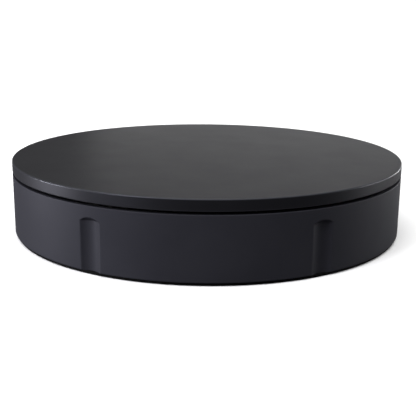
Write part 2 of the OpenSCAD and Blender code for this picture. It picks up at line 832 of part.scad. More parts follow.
module hub_track() {
  rotate_extrude() translate([hub_ball_track_r, hub_ball_z]) circle(r = hub_ball_d / 2 + fit_gap);
}

module hub_bearing_outer() {
  color("#b4b6ba") difference() {
    ring(hub_bearing_or, hub_ball_track_r + hub_race_land, hub_bearing_z0, deck_z1);
    hub_track();
  }
}

module hub_bearing_inner() {
  color("#b4b6ba") difference() {
    ring(hub_ball_track_r - hub_race_land, spindle_r, hub_bearing_z0, deck_z1);
    hub_track();
  }
}

module hub_bearing_cage() {
  w = hub_race_land - 0.3;
  color("#b5853c") difference() {
    ring(hub_ball_track_r + w, hub_ball_track_r - w, hub_ball_z - hub_cage_h / 2, hub_ball_z + hub_cage_h / 2);
    round_array(hub_balls, hub_ball_track_r) translate([0, 0, hub_ball_z]) sphere(r = hub_ball_d / 2 + fit_gap);
  }
}

module hub_bearing_balls() {
  color("#d5d7da") round_array(hub_balls, hub_ball_track_r)
    translate([0, 0, hub_ball_z]) sphere(r = hub_ball_d / 2);
}

module bush() {
  color("#b5853c") difference() {
    union() {
      disc(bush_r + 3, bush_z0, hub_z0);
      disc(bush_r, bush_z0, bush_z1);
    }
    disc(spindle_r + fit_gap, 0, deck_z1);
  }
}

// ---------------------------------------------------------------- platter, spindle and wheel

module platter_section() {
  c = edge_chamfer;
  polygon([
    [0, skin_z0], [body_r - 6, skin_z0], [body_r - 6, platter_z0], [body_r - c, platter_z0],
    [body_r, platter_z0 + c], [body_r, platter_z1 - c], [body_r - c, platter_z1], [0, platter_z1]
  ]);
}

// Ribs on the platter's underside, inside and outside the upper race.
module platter_ribs() {
  rib_t = 1.6;
  rib_h = skin_z0 - platter_z0 - 0.6;
  race_in = race_r - race_w / 2;
  race_out = race_r + race_w / 2;
  ring(race_in - 0.1, race_in - 1.5, skin_z0 - rib_h, skin_z0);
  ring(race_out + 1.5, race_out + 0.1, skin_z0 - rib_h, skin_z0);
  round_array(12, 0) {
    translate([spindle_flange_r + 1, -rib_t / 2, skin_z0 - rib_h])
      cube([race_in - 1 - spindle_flange_r - 1, rib_t, rib_h]);
    translate([race_out + 1, -rib_t / 2, skin_z0 - rib_h]) cube([body_r - 6 - race_out, rib_t, rib_h]);
  }
}

module platter() {
  color("#2a2b2f") difference() {
    union() {
      rotate_extrude() platter_section();
      disc(spindle_flange_r + 2, spindle_boss_z0, skin_z0);
      platter_ribs();
    }
    disc(spindle_shoulder_r + fit_gap, spindle_boss_z0 - 1, spindle_boss_z0 + spindle_spigot_h + 0.1);
    round_array(4, spindle_screw_ring, 45) disc(m3_r, spindle_boss_z0 - 1, spindle_boss_z0 + 3);
  }
}

module spindle() {
  color("#aeb0b5") difference() {
    union() {
      intersection() {
        disc(spindle_end_r, spindle_end_z, wheel_hub_z1);
        block(spindle_flat - spindle_end_r, 0, spindle_end_z, [2 * spindle_end_r, 4 * spindle_r, 10]);
      }
      disc(spindle_r, wheel_hub_z1, deck_z1);
      disc(spindle_shoulder_r, deck_z1, spindle_boss_z0 + spindle_spigot_h);
      disc(spindle_flange_r, spindle_flange_z0, spindle_boss_z0);
    }
    disc(2, 0, spindle_end_z + 9);
    round_array(4, spindle_screw_ring, 45) {
      translate([0, 0, spindle_flange_z0]) cylinder(r1 = m3_head_r + fit_gap, r2 = m3_r + fit_gap, h = m3_sink);
      disc(m3_r + 0.1, 0, deck_z1 + 20);
    }
  }
}

module spindle_screws() {
  color("#8d8f93") round_array(4, spindle_screw_ring, 45) translate([0, 0, spindle_flange_z0])
    difference() {
      sunk_screw(m3_r, m3_head_r, m3_sink, spindle_flange_t + 2.9);
      hex_socket(m3_head_r * 0.38, 1.1);
    }
}

module drive_wheel() {
  web_in = wheel_hub_r + 1;
  web_out = wheel_r - 1.25 * tooth_module - 3;
  color("#e9e6dc") difference() {
    union() {
      translate([0, 0, gear_z0]) linear_extrude(gear_face) polygon(gear_outline(wheel_teeth));
      disc(wheel_hub_r, gear_z0, wheel_hub_z1);
    }
    ring(web_out, web_in, gear_z0 - 1, gear_z0 + web_groove);
    ring(web_out, web_in, gear_z1 - web_groove, gear_z1 + 1);
    round_array(6, (web_in + web_out) / 2) disc((web_out - web_in) * 0.32, 0, deck_z0);
    disc(wheel_sink_r, 0, gear_z0 + wheel_sink_h);
    intersection() {
      disc(spindle_end_r + fit_gap, 0, deck_z0);
      block(spindle_flat - spindle_end_r, 0, 0, [2 * spindle_end_r + 2 * fit_gap, 4 * spindle_r, 30]);
    }
  }
}

module wheel_washer() {
  z = gear_z0 + wheel_sink_h;
  color("#b9bbbf") ring(wheel_sink_r - 1, 2.1, z - 1, z);
}

module wheel_screw() {
  z = gear_z0 + wheel_sink_h - 1;
  color("#8d8f93") translate([0, 0, z]) pan_screw(2, 3.8, 1.2, spindle_end_z + 8 - z);
}

housing();
foot_ring();
bottom_plate();
case_screws();
chassis();
connector_panel();
dc_socket();
dc_socket_pin();
usb_socket();
usb_tongue();
switch_body();
switch_terminals();
rocker();
control_board();
board_screws();
controller_chip();
motor_driver();
driver_heatsink();
capacitors();
board_parts();
motor_header();
cable_plugs();
motor_cable();
cable_clips();
switch_header();
switch_leads();
motor_can();
motor_plate();
motor_cap();
motor_bearings();
motor_stator();
motor_coils();
motor_connector();
motor_screws();
motor_rotor();
motor_shaft();
pinion();
lower_race();
hub_bearing_outer();
bush();
ball_ring_cage();
ball_ring_balls();
hub_bearing_cage();
hub_bearing_balls();
platter();
upper_race();
spindle();
spindle_screws();
hub_bearing_inner();
drive_wheel();
wheel_washer();
wheel_screw();
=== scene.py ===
# %% [markdown]
# # A motorised turntable in black anodised aluminium
# The object is a low drum: a turned disc that carries whatever is photographed, a fluted round
# housing below it, and a drive inside. The frame that is loaded here comes from the design, with
# every piece already in its place. The work of this lesson is the looks: the two
# turned pieces are made again with soft edges, the small repeated pieces are made with Geometry
# Nodes, and every piece gets a finish.

# %% Load the frame
import json
import math
import bmesh
import bpy
from mathutils import Matrix, Vector


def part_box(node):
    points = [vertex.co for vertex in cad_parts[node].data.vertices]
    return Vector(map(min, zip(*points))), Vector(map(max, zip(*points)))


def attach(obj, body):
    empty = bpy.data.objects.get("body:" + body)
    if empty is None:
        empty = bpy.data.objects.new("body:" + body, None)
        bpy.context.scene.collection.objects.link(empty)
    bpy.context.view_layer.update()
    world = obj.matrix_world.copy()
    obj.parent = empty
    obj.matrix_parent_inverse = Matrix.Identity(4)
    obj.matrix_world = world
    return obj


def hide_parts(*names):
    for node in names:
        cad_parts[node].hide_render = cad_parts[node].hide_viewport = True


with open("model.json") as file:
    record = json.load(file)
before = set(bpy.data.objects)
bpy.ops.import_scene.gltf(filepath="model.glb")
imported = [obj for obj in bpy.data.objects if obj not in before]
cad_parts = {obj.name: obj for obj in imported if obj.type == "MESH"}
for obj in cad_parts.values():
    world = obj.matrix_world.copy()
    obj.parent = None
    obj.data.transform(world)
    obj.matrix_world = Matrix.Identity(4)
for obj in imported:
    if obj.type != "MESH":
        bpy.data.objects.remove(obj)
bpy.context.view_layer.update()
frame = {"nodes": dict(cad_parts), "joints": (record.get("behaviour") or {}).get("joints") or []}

MM = 0.001
print("pieces in the frame:", len(frame["nodes"]))

# %% [markdown]
# ## Helpers for colours and node trees
# A maker writes a colour as a hex number for the screen (sRGB), while Blender mixes light in linear
# values, so one function turns the first into the second. Node trees are built in code as well, and
# one small function adds a node, sets it up and joins its inputs. An input is joined when it is given
# a socket, and set when it is given a number, a colour or a vector.

# %% Colour and node helpers
def paint(hex_code):
    """Linear colour from an sRGB hex code such as "1b1c1f"."""
    parts = [int(hex_code[i:i + 2], 16) / 255 for i in (0, 2, 4)]
    return [c / 12.92 if c <= 0.04045 else ((c + 0.055) / 1.055) ** 2.4 for c in parts] + [1.0]


def node(tree, kind, inputs=None, **settings):
    """Adds a node of this kind. inputs maps a socket's name or number to a value or to another socket."""
    made = tree.nodes.new(kind)
    for name, value in settings.items():
        setattr(made, name, value)
    for name, value in (inputs or {}).items():
        socket = made.inputs[name]
        if isinstance(value, bpy.types.NodeSocket):
            tree.links.new(value, socket)
        else:
            socket.default_value = value
    return made


print("sRGB 808080 is", round(paint("808080")[0], 3), "in linear light")

# %% [markdown]
# ## Finishes
# A finish starts from what the real piece is made of. Each function below makes one material with a
# Principled shader. Its colour comes from the real stuff, its roughness from how the surface was
# made, and its grain from a noise or wave whose scale is worked out from a size in millimetres. A
# noise with scale S has grains of about 1/S metres, so a grain of g millimetres needs 1000/g.

# %% A start for every finish
def per_mm(size):
    """Texture scale at which one grain or ridge is this many millimetres wide."""
    return 1.0 / (size * MM)


def new_finish(name, rough, metal=0.0, **sockets):
    """A material with its shader and its Object coordinates ready. Returns (material, tree, shader, coordinates)."""
    material = bpy.data.materials.new(name)
    material.use_nodes = True
    tree = material.node_tree
    tree.nodes.clear()
    shader = node(tree, "ShaderNodeBsdfPrincipled", {"Roughness": rough, "Metallic": metal, **sockets})
    node(tree, "ShaderNodeOutputMaterial", {"Surface": shader.outputs[0]})
    place = node(tree, "ShaderNodeTexCoord").outputs["Object"]
    return material, tree, shader, place


def mottle(tree, place, grain, low, high, detail=3.0, sharp=(0.3, 0.7)):
    """A patchy blend between two colours, with patches of this many millimetres."""
    noise = node(tree, "ShaderNodeTexNoise", {"Vector": place, "Scale": per_mm(grain), "Detail": detail})
    ramp = node(tree, "ShaderNodeValToRGB", {"Fac": noise.outputs["Fac"]})
    ramp.color_ramp.elements[0].position, ramp.color_ramp.elements[1].position = sharp
    ramp.color_ramp.elements[0].color, ramp.color_ramp.elements[1].color = low, high
    return ramp.outputs["Color"]


def rough_patches(tree, place, grain, low, high):
    """Roughness that drifts between two values, as on any surface that has been made and touched."""
    noise = node(tree, "ShaderNodeTexNoise", {"Vector": place, "Scale": per_mm(grain), "Detail": 4.0})
    spread = node(tree, "ShaderNodeMapRange", {"Value": noise.outputs["Fac"], "From Min": 0.3, "From Max": 0.7,
                                               "To Min": low, "To Max": high})
    return spread.outputs["Result"]


def grain_bump(tree, place, grain, strength, depth=0.05, detail=2.0):
    """A fine bump with grains of this many millimetres, depth millimetres high."""
    noise = node(tree, "ShaderNodeTexNoise", {"Vector": place, "Scale": per_mm(grain), "Detail": detail})
    bump = node(tree, "ShaderNodeBump", {"Height": noise.outputs["Fac"], "Strength": strength,
                                         "Distance": depth * MM})
    return bump.outputs["Normal"]


print("a 0.4 mm grain has a texture scale of", per_mm(0.4))

# %% [markdown]
# ## Black anodised aluminium, bead blasted
# The platter and the housing are aluminium that was turned, blasted with fine glass beads and then
# anodised in a black dye. The oxide is a hard clear layer full of dye, so the eye sees no bare metal:
# it sees a nearly black surface with a soft, wide sheen that gets lighter at flat viewing angles. A
# dielectric shader with a low specular level and a middle roughness gives that. Blasting leaves pits
# of 0.1 to 0.2 mm; they are drawn at 0.5 mm, because finer ones would vanish at this size.

# %% Anodised aluminium
def anodised(name, colour_low, colour_high, rough_low, rough_high, level, edge_wear):
    """Dyed oxide over blasted metal: nearly black, a faint blue in its sheen, and a little rubbed at the edges."""
    material, tree, shader, place = new_finish(name, 0.45, **{"Specular IOR Level": level,
                                               "Specular Tint": paint("ececff")})
    dyed = mottle(tree, place, 30, paint(colour_low), paint(colour_high))
    edge = node(tree, "ShaderNodeAttribute", attribute_name="edge_wear").outputs["Fac"]
    rubbed = node(tree, "ShaderNodeMapRange", {"Value": edge, "To Max": edge_wear})
    colour = node(tree, "ShaderNodeMix", {0: rubbed.outputs[0], 6: dyed, 7: paint("70727a")}, data_type="RGBA")
    tree.links.new(colour.outputs[2], shader.inputs["Base Color"])
    tree.links.new(rubbed.outputs[0], shader.inputs["Metallic"])
    patches = rough_patches(tree, place, 22, rough_low, rough_high)
    smoother = node(tree, "ShaderNodeMath", {0: patches, 1: rubbed.outputs[0]}, operation="SUBTRACT")
    tree.links.new(smoother.outputs[0], shader.inputs["Roughness"])
    tree.links.new(grain_bump(tree, place, 0.5, 0.12, 0.03), shader.inputs["Normal"])
    return material


# blasted before it was dyed: a matt, faintly blue black that shows the light's slow fall round the wall
housing_finish = anodised("anodised_aluminium_blasted", "26262b", "2a2a2f", 0.48, 0.52, 0.1, 0.01)
# a finer blast and the same dye: deeper black, with a satin sheen that lightens towards the far side
platter_finish = anodised("anodised_aluminium_platter", "111113", "151517", 0.38, 0.41, 0.2, 0.1)
print("anodised finishes:", housing_finish.name, platter_finish.name)

# %% [markdown]
# ## The other finishes of the outside
# The bottom plate and the connector panel are steel sheet with a black powder coat, which shows the
# fine orange peel of baked powder. The ring that the drum stands on is solid rubber: dull, with a soft
# sheen, and painted nearly black, darker than rubber, as painted shadow for the dark line under the drum.
# Sockets and the switch are moulded plastic, the switch with a polished mould.

# %% Powder coat, rubber and moulded plastics
def coated(name, low, high, rough, grain, strength, depth, metal=0.0, **sockets):
    """A finish whose colour, roughness and grain all vary a little about one look."""
    material, tree, shader, place = new_finish(name, rough, metal, **sockets)
    tree.links.new(mottle(tree, place, grain * 12, paint(low), paint(high)), shader.inputs["Base Color"])
    tree.links.new(rough_patches(tree, place, grain * 25, rough - 0.05, rough + 0.05), shader.inputs["Roughness"])
    tree.links.new(grain_bump(tree, place, grain, strength, depth), shader.inputs["Normal"])
    return material


# baked polyester powder: a black skin with fine orange peel that breaks its highlights up
powder_coat = coated("powder_coat_black", "17181a", "1d1e21", 0.42, 0.9, 0.35, 0.06)
# moulded rubber filled with carbon, painted nearly black, darker than the rubber itself: painted shadow, so the drum
# seems to float on a black line
foot_rubber_painted_shadow = coated("rubber_black_painted_shadow", "040404", "070707", 0.8, 0.5, 0.3, 0.04, **{"Specular IOR Level": 0.08})
# nylon from a plain mould: black with a faint grain and a middling gloss, for the sockets
nylon_black = coated("nylon_black_moulded", "141416", "1a1a1c", 0.5, 0.35, 0.25, 0.03)
# nylon with chopped glass: greyer and duller, with fibres that mottle its skin
nylon_deck = coated("glass_filled_nylon", "2a2c30", "34373b", 0.55, 0.6, 0.35, 0.05)
# abs from a polished mould: the one glossy black, so the switch stands out from the panel
switch_plastic = coated("polished_abs_black", "111113", "161618", 0.22, 1.6, 0.05, 0.02)
# acetal is milky and lets a little light in, which softens the shade between the wheel's teeth
acetal = coated("acetal_natural", "d8d5ca", "e4e1d7", 0.36, 1.2, 0.08, 0.02, **{"Subsurface Weight": 0.15,
                "Subsurface Scale": 0.002})
# undyed nylon: warm off-white and slightly waxy, for plugs, clips and the ball cage
nylon_natural = coated("nylon_natural", "d6cfbd", "e3dccb", 0.45, 0.6, 0.12, 0.02)
# epoxy filled with silica, as chips are moulded in: flat dark grey with a gritty skin
chip_epoxy = coated("epoxy_moulding_compound", "1b1b1d", "232325", 0.62, 0.15, 0.3, 0.02)
# fired ceramic and pressed ferrite: small dull brown blocks
ferrite = coated("fired_ceramic_and_ferrite", "4a3a2c", "66523c", 0.55, 0.3, 0.2, 0.02)
# shrunk polyester sleeve: smooth dark blue with a tight gloss
sleeve = coated("shrink_sleeve_blue", "1b2350", "232c61", 0.28, 1.0, 0.08, 0.02)
# soft pvc over copper strands: plain red, a little shiny
wire_red = coated("pvc_insulation_red", "97251c", "a83025", 0.4, 0.8, 0.1, 0.02)
# the flat cable's soft pvc: light grey, a little waxy, and plain, as its route turns every way
cable_grey = coated("ribbon_insulation_grey", "9d9a92", "b0ada5", 0.45, 0.8, 0.12, 0.03)
print("coated finishes made:", len(bpy.data.materials))

# %% [markdown]
# ## Metals
# A metal reflects with its own colour, so its base colour is that of the metal and the metallic value
# is 1. What tells one from another is how it was worked. Turned and ground pieces carry fine rings
# round their axis, which a wave texture in ring mode gives; rolled and plated ones have soft patches.

# %% Turned, ground and plated metal
def worked_metal(name, low, high, rough, ring_pitch=0.0, centre=(0.0, 0.0, 0.0), patch=3.0):
    """A bare metal. With a ring pitch in millimetres it shows tool marks round the vertical axis at centre."""
    material, tree, shader, place = new_finish(name, rough, 1.0)
    tree.links.new(mottle(tree, place, patch, paint(low), paint(high)), shader.inputs["Base Color"])
    tree.links.new(rough_patches(tree, place, patch * 2, rough - 0.05, rough + 0.07), shader.inputs["Roughness"])
    if ring_pitch:
        at = node(tree, "ShaderNodeMapping", {"Vector": place, "Location": [-c for c in centre]})
        rings = node(tree, "ShaderNodeTexWave", {"Vector": at.outputs["Vector"], "Scale": 0.31 * per_mm(ring_pitch),
                     "Distortion": 0.6, "Detail": 2.0}, wave_type="RINGS", rings_direction="Z")
        bump = node(tree, "ShaderNodeBump", {"Height": rings.outputs["Fac"], "Strength": 0.25, "Distance": 0.01 * MM})
        tree.links.new(bump.outputs["Normal"], shader.inputs["Normal"])
    return material


motor_at = (0.0, frame["joints"][1]["pos_m"][1], 0.0)
# hardened steel, ground in rings: bright, with a fine circular streak in its highlight
bearing_steel = worked_metal("bearing_steel_ground", "b9bbbf", "cacccf", 0.28, 0.5)
# lapped balls: the smoothest metal here, so each one mirrors the room
ball_steel = worked_metal("bearing_steel_polished", "c9cbce", "d6d8db", 0.12)
# steel straight off the lathe: duller, with tool marks round the spindle
spindle_steel = worked_metal("steel_turned", "a9abb0", "bcbec2", 0.32, 0.4)
# centreless ground bar: a clean shaft with rings too fine to feel; drawn at 0.3 mm so that they show
shaft_steel = worked_metal("steel_ground_shaft", "b4b6ba", "c6c8cb", 0.25, 0.3, motor_at)
# zinc from a barrel: cool, slightly cloudy silver
zinc_plate = worked_metal("zinc_plated_steel", "a9adb3", "c2c5ca", 0.34, patch=1.5)
# black oxide with a trace of oil: near black that still glints as metal in the screw sockets
screw_black = worked_metal("black_oxide_steel", "1c1d20", "2a2b2e", 0.42, patch=1.0)
# bright nickel: a warm, hard glint at the mouth of the data socket
nickel_plate = worked_metal("nickel_plated_steel", "b4b1a9", "c8c5bd", 0.24, patch=1.2)
# aluminium as it leaves the die: pale and satin
bare_aluminium = worked_metal("aluminium_extruded", "b6b8bb", "c6c8ca", 0.38, patch=2.0)
# cast aluminium: greyer, with the cloudy skin of the mould
die_cast = worked_metal("aluminium_die_cast", "8f9195", "a5a7aa", 0.5, patch=1.2)
# silicon steel sheet under its varnish: dark grey metal with little shine
laminations = worked_metal("electrical_steel", "5d5f63", "74767a", 0.45, patch=1.0)
# machined brass: warm yellow with cutter rings
brass = worked_metal("brass_machined", "b48c3e", "c9a254", 0.3, 0.4, motor_at)
# bronze pressed from powder and soaked in oil: brown, matt and finely pitted
bronze = worked_metal("bronze_sintered", "8c6a3a", "a37e4a", 0.5, patch=0.6)
print("metals made, materials so far:", len(bpy.data.materials))

# %% [markdown]
# ## Finishes with a pattern of their own
# Three pieces show a pattern that is not mere grain. The circuit board has copper tracks under green
# lacquer, the motor's windings are turns of enamelled wire, and the stack of the stator shows its
# sheets. Bands and bricks draw these.

# %% Board, windings and cable
def circuit_board():
    material, tree, shader, place = new_finish("solder_mask_green", 0.3, **{"Coat Weight": 0.4})
    tracks = node(tree, "ShaderNodeTexBrick", {"Vector": place, "Scale": per_mm(1.0), "Color1": paint("17492c"),
                  "Color2": paint("1c5534"), "Mortar": paint("2b7a4b"), "Mortar Size": 0.16, "Brick Width": 3.1,
                  "Row Height": 1.3, "Bias": 0.1}, offset=0.37, squash=0.6, squash_frequency=3)
    tree.links.new(tracks.outputs["Color"], shader.inputs["Base Color"])
    bump = node(tree, "ShaderNodeBump", {"Height": tracks.outputs["Fac"], "Strength": 0.3, "Distance": 0.035 * MM})
    tree.links.new(bump.outputs["Normal"], shader.inputs["Normal"])
    return material


def banded(name, low, high, rough, metal, pitch, direction, depth):
    """Ridges of this pitch in millimetres across one axis, for wires or sheets that lie side by side. The colour runs
    from low in the hollows to high on the ridges: between wires that is painted shade, between sheets it is the lines
    between them.
    """
    material, tree, shader, place = new_finish(name, rough, metal)
    bands = node(tree, "ShaderNodeTexWave", {"Vector": place, "Scale": 0.31 * per_mm(pitch), "Distortion": 0.3,
                 "Detail": 1.0}, wave_type="BANDS", bands_direction=direction)
    ramp = node(tree, "ShaderNodeValToRGB", {"Fac": bands.outputs["Fac"]})
    ramp.color_ramp.elements[0].color, ramp.color_ramp.elements[1].color = paint(low), paint(high)
    tree.links.new(ramp.outputs["Color"], shader.inputs["Base Color"])
    bump = node(tree, "ShaderNodeBump", {"Height": bands.outputs["Fac"], "Strength": 0.6, "Distance": depth * MM})
    tree.links.new(bump.outputs["Normal"], shader.inputs["Normal"])
    return material


# green lacquer over copper: tracks show as slightly raised, lighter lines under a clear gloss
board_green = circuit_board()
# varnished copper wire, turn beside turn: glossy red-brown ridges, drawn at 0.4 mm for 0.25 mm wire; the darker brown
# in the hollows between turns is painted shade
copper_wire_with_painted_shade = banded("enamelled_copper_wire_painted_shade", "6e3413", "b3642c", 0.3, 1.0, 0.4, "Z", 0.1)
# a pile of thin sheets: fine level lines round dull grey steel
stator_stack = banded("stacked_electrical_steel", "4d4f53", "77797d", 0.45, 1.0, 0.5, "Z", 0.05)
print("materials in all:", len(bpy.data.materials))

# %% [markdown]
# ## How a finished piece joins the frame
# A new piece sits at the origin with its shape in its mesh, rides on a body, takes one material, and
# hides the CAD pieces that it stands for. One function does all of that, so that no piece is forgotten.
# Its edges are marked sharp only where two faces meet at a clear corner, and everything else is shaded
# smooth.


def smooth(mesh, corner=35.0):
    """Smooth shading with sharp edges where faces meet at more than this many degrees."""
    mesh.polygons.foreach_set("use_smooth", [True] * len(mesh.polygons))
    mesh.set_sharp_from_angle(angle=math.radians(corner))


def mark_edges(mesh, full=12.0):
    """Stores edge_wear on every point: 0 on flats and hollows, 1 where edges stand out by this many degrees."""
    shape = bmesh.new()
    shape.from_mesh(mesh)
    layer = shape.verts.layers.float.new("edge_wear")
    for edge in shape.edges:
        if len(edge.link_faces) == 2 and edge.calc_face_angle_signed(0) > math.radians(2):
            wear = min(1.0, edge.calc_face_angle_signed(0) / math.radians(full))
            for vert in edge.verts:
                vert[layer] = max(vert[layer], wear)
    shape.to_mesh(mesh)
    shape.free()


def join_frame(name, mesh, body, finish, stands_for, corner=35.0):
    """A finished piece: one mesh, one material, one body, and the CAD nodes that it stands for."""
    mesh.materials.clear()
    mesh.materials.append(finish)
    mark_edges(mesh)
    smooth(mesh, corner)
    piece = bpy.data.objects.new(name, mesh)
    bpy.context.scene.collection.objects.link(piece)
    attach(piece, body)
    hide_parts(*stands_for)
    print(f"{name}: {len(mesh.polygons)} faces, stands for {', '.join(stands_for)}")
    return piece


def as_mesh(obj, name):
    """The evaluated shape of an object as a plain mesh. The object itself is then removed."""
    bpy.context.view_layer.update()
    shown = obj.evaluated_get(bpy.context.evaluated_depsgraph_get())
    mesh = bpy.data.meshes.new_from_object(shown)
    mesh.name = name
    bpy.data.objects.remove(obj)
    return mesh


# %% [markdown]
# ## Turned profiles with soft corners
# Anything that comes off a lathe is a flat outline spun round an axis. A real edge is never a perfect
# corner: even a sharp one is broken by a few tenths of a millimetre, and that small round is what
# catches the light as a fine bright line. The next function rounds chosen corners of an outline with
# an arc, and puts a point just before and after it so that the flats next to it stay flat.

# %% Rounding an outline
def soften(outline, steps=5, hold=0.12):
    """outline is a list of (radius, height, corner radius) in mm. Returns (radius, height) points in mm."""
    points = []
    for i, (x, z, round_by) in enumerate(outline):
        here = Vector((x, z))
        before = Vector(outline[i - 1][:2]) - here
        after = Vector(outline[(i + 1) % len(outline)][:2]) - here
        if round_by == 0:
            points.append(here)
            continue
        half = before.angle(after) / 2
        reach = round_by / math.tan(half)
        middle = here + (before.normalized() + after.normalized()).normalized() * round_by / math.sin(half)
        start, end = here + before.normalized() * reach, here + after.normalized() * reach
        points.append(here + before.normalized() * (reach + hold))
        first, turn = start - middle, (start - middle).angle_signed(end - middle)
        for step in range(steps + 1):
            spun = first.copy()
            spun.rotate(Matrix.Rotation(-turn * step / steps, 2))
            points.append(middle + spun)
        points.append(here + after.normalized() * (reach + hold))
    return [(p.x, p.y) for p in points]


square = soften([(10, 0, 1), (12, 0, 1), (12, 2, 1), (10, 2, 1)])
print("a softened square has", len(square), "points, first", [round(v, 2) for v in square[0]])

# %% Spinning an outline round the vertical axis
def spin(name, points, columns, groups=1, crowd=0.0):
    """A closed ring or disc from (radius, height) points in mm. Points on the axis become poles.
    crowd, from 0 to 1, draws the columns together at equal steps, one step for each of the groups."""
    shape = bmesh.new()
    rings = []
    turns = [2 * math.pi * k / columns for k in range(columns)]
    turns = [turn - crowd / groups * math.sin(groups * turn) for turn in turns]
    for radius, height in points:
        if radius < 1e-6:
            rings.append([shape.verts.new((0, 0, height * MM))] * columns)
            continue
        rings.append([shape.verts.new((radius * MM * math.cos(turn), radius * MM * math.sin(turn), height * MM))
                      for turn in turns])
    for i, ring in enumerate(rings):
        above = rings[(i + 1) % len(rings)]
        for k in range(columns):
            corners = [ring[k], ring[(k + 1) % columns], above[(k + 1) % columns], above[k]]
            unique = list(dict.fromkeys(corners))
            if len(unique) > 2:
                shape.faces.new(unique)
    bmesh.ops.recalc_face_normals(shape, faces=shape.faces)
    mesh = bpy.data.meshes.new(name)
    shape.to_mesh(mesh)
    shape.free()
    return mesh


# %% [markdown]
# ## The platter
# The platter is one turned disc: a flat top that runs out to a small round, a plain rim, and a skirt
# that hides the ring bearing. Its sizes are read from the frame, so it lies exactly where the design
# has it. The underside keeps a recess for the bearing's upper race and a boss for the spindle.

# %% Make the platter
platter_low, platter_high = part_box("platter")
race_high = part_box("upper_race")[1]
spindle_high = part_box("spindle")[1]
rim_r = platter_high.x / MM
top_z = platter_high.z / MM
rim_z = platter_low.z / MM
skin_z = race_high.z / MM
boss_z = spindle_high.z / MM - 1.2
boss_r = spindle_high.x / MM + 2

platter_outline = soften([
    (0, top_z, 0), (rim_r * 0.5, top_z, 0), (rim_r, top_z, 0.55), (rim_r, rim_z, 0.4), (rim_r - 6, rim_z, 0.3),
    (rim_r - 6, skin_z, 0), (boss_r, skin_z, 0), (boss_r, boss_z, 0.3), (8.1, boss_z, 0), (8.1, boss_z + 1.3, 0),
    (0, boss_z + 1.3, 0),
])
platter = join_frame("turned_platter", spin("turned_platter", platter_outline, 360), "turntable",
                     platter_finish, ["platter"])
print("platter radius", round(rim_r, 2), "mm, top at", round(top_z, 2), "mm")

# %% [markdown]
# ## The fluted housing, with Geometry Nodes
# The housing is turned first, like the platter. Then a round cutter is run straight up its wall at
# equal steps, and each pass leaves a flute. The cutter's end is a 45 degree cone, which leaves the
# low arch at the top of a flute. Geometry Nodes can follow the same rule: every point of the turned
# wall that lies inside a cutter is pulled in to the cutter's surface. The wall's columns are drawn
# close together round the flutes, where the shape changes, and stand far apart between them.
#
# The sums are written down as a recipe. Each line is one Math node: the name of what it gives, what
# it does, and what it works on, which is a number or the name of an earlier line.

# %% The tree for the flutes
flute_recipe = [
    ("step", "DIVIDE", 2 * math.pi, "Flutes"),
    ("half step", "MULTIPLY", "step", 0.5),
    ("half step back", "MULTIPLY", "step", -0.5),
    ("angle", "ARCTAN2", "Y", "X"),
    ("from flute", "WRAP", "angle", "half step", "half step back"),
    ("sine", "SINE", "from flute"),
    ("across", "MULTIPLY", "sine", "Cutter Distance"),
    ("above", "SUBTRACT", "Z", "Cone Start"),
    ("up the cone", "MAXIMUM", "above", 0.0),
    ("cutter", "SUBTRACT", "Cutter Radius", "up the cone"),
    ("cutter squared", "MULTIPLY", "cutter", "cutter"),
    ("across squared", "MULTIPLY", "across", "across"),
    ("room", "SUBTRACT", "cutter squared", "across squared"),
    ("inside", "GREATER_THAN", "room", 0.0),
    ("bulge", "SQRT", "room"),
    ("cosine", "COSINE", "from flute"),
    ("along", "MULTIPLY", "cosine", "Cutter Distance"),
    ("cut radius", "SUBTRACT", "along", "bulge"),
    ("X squared", "MULTIPLY", "X", "X"),
    ("radius squared", "MULTIPLY_ADD", "Y", "Y", "X squared"),
    ("radius", "SQRT", "radius squared"),
    ("pull", "DIVIDE", "cut radius", "radius"),
    ("pull in", "MINIMUM", "pull", 1.0),
]


def flute_tree():
    """Geometry Nodes group: pulls the points of a turned wall in to the surface of round cutters."""
    tree = bpy.data.node_groups.new("milled_flutes", "GeometryNodeTree")
    tree.interface.new_socket("Geometry", in_out="OUTPUT", socket_type="NodeSocketGeometry")
    tree.interface.new_socket("Geometry", in_out="INPUT", socket_type="NodeSocketGeometry")
    for name in ("Flutes", "Cutter Radius", "Cutter Distance", "Cone Start"):
        tree.interface.new_socket(name, in_out="INPUT", socket_type="NodeSocketFloat")
    tree.interface.new_socket("Finish", in_out="INPUT", socket_type="NodeSocketMaterial")
    given = tree.nodes.new("NodeGroupInput").outputs
    place = node(tree, "GeometryNodeInputPosition").outputs[0]
    known = {socket.name: socket for socket in given if socket.name}
    known.update({socket.name: socket for socket in node(tree, "ShaderNodeSeparateXYZ", {0: place}).outputs})
    for result, operation, *terms in flute_recipe:
        inputs = {i: known.get(term, term) for i, term in enumerate(terms)}
        known[result] = node(tree, "ShaderNodeMath", inputs, operation=operation).outputs[0]
    share = node(tree, "ShaderNodeCombineXYZ", {"X": known["pull in"], "Y": known["pull in"], "Z": 1.0})
    pulled = node(tree, "ShaderNodeVectorMath", {0: place, 1: share.outputs[0]}, operation="MULTIPLY")
    wall = node(tree, "GeometryNodeSetPosition", {"Geometry": given["Geometry"], "Selection": known["inside"],
                "Position": pulled.outputs[0]})
    real = node(tree, "GeometryNodeRealizeInstances", {"Geometry": wall.outputs[0]})
    done = node(tree, "GeometryNodeSetMaterial", {"Geometry": real.outputs[0], "Material": given["Finish"]})
    node(tree, "NodeGroupOutput", {0: done.outputs[0]})
    return tree


def run_tree(name, mesh, tree, values):
    """Runs a Geometry Nodes group on a mesh with named inputs, and returns the result as a plain mesh."""
    obj = bpy.data.objects.new(name, mesh)
    bpy.context.scene.collection.objects.link(obj)
    modifier = obj.modifiers.new(name, "NODES")
    modifier.node_group = tree
    for socket in tree.interface.items_tree:
        if getattr(socket, "in_out", "") == "INPUT" and socket.name in values:
            modifier[socket.identifier] = values[socket.name]
    return as_mesh(obj, name)


print("Math nodes in the recipe:", len(flute_recipe))

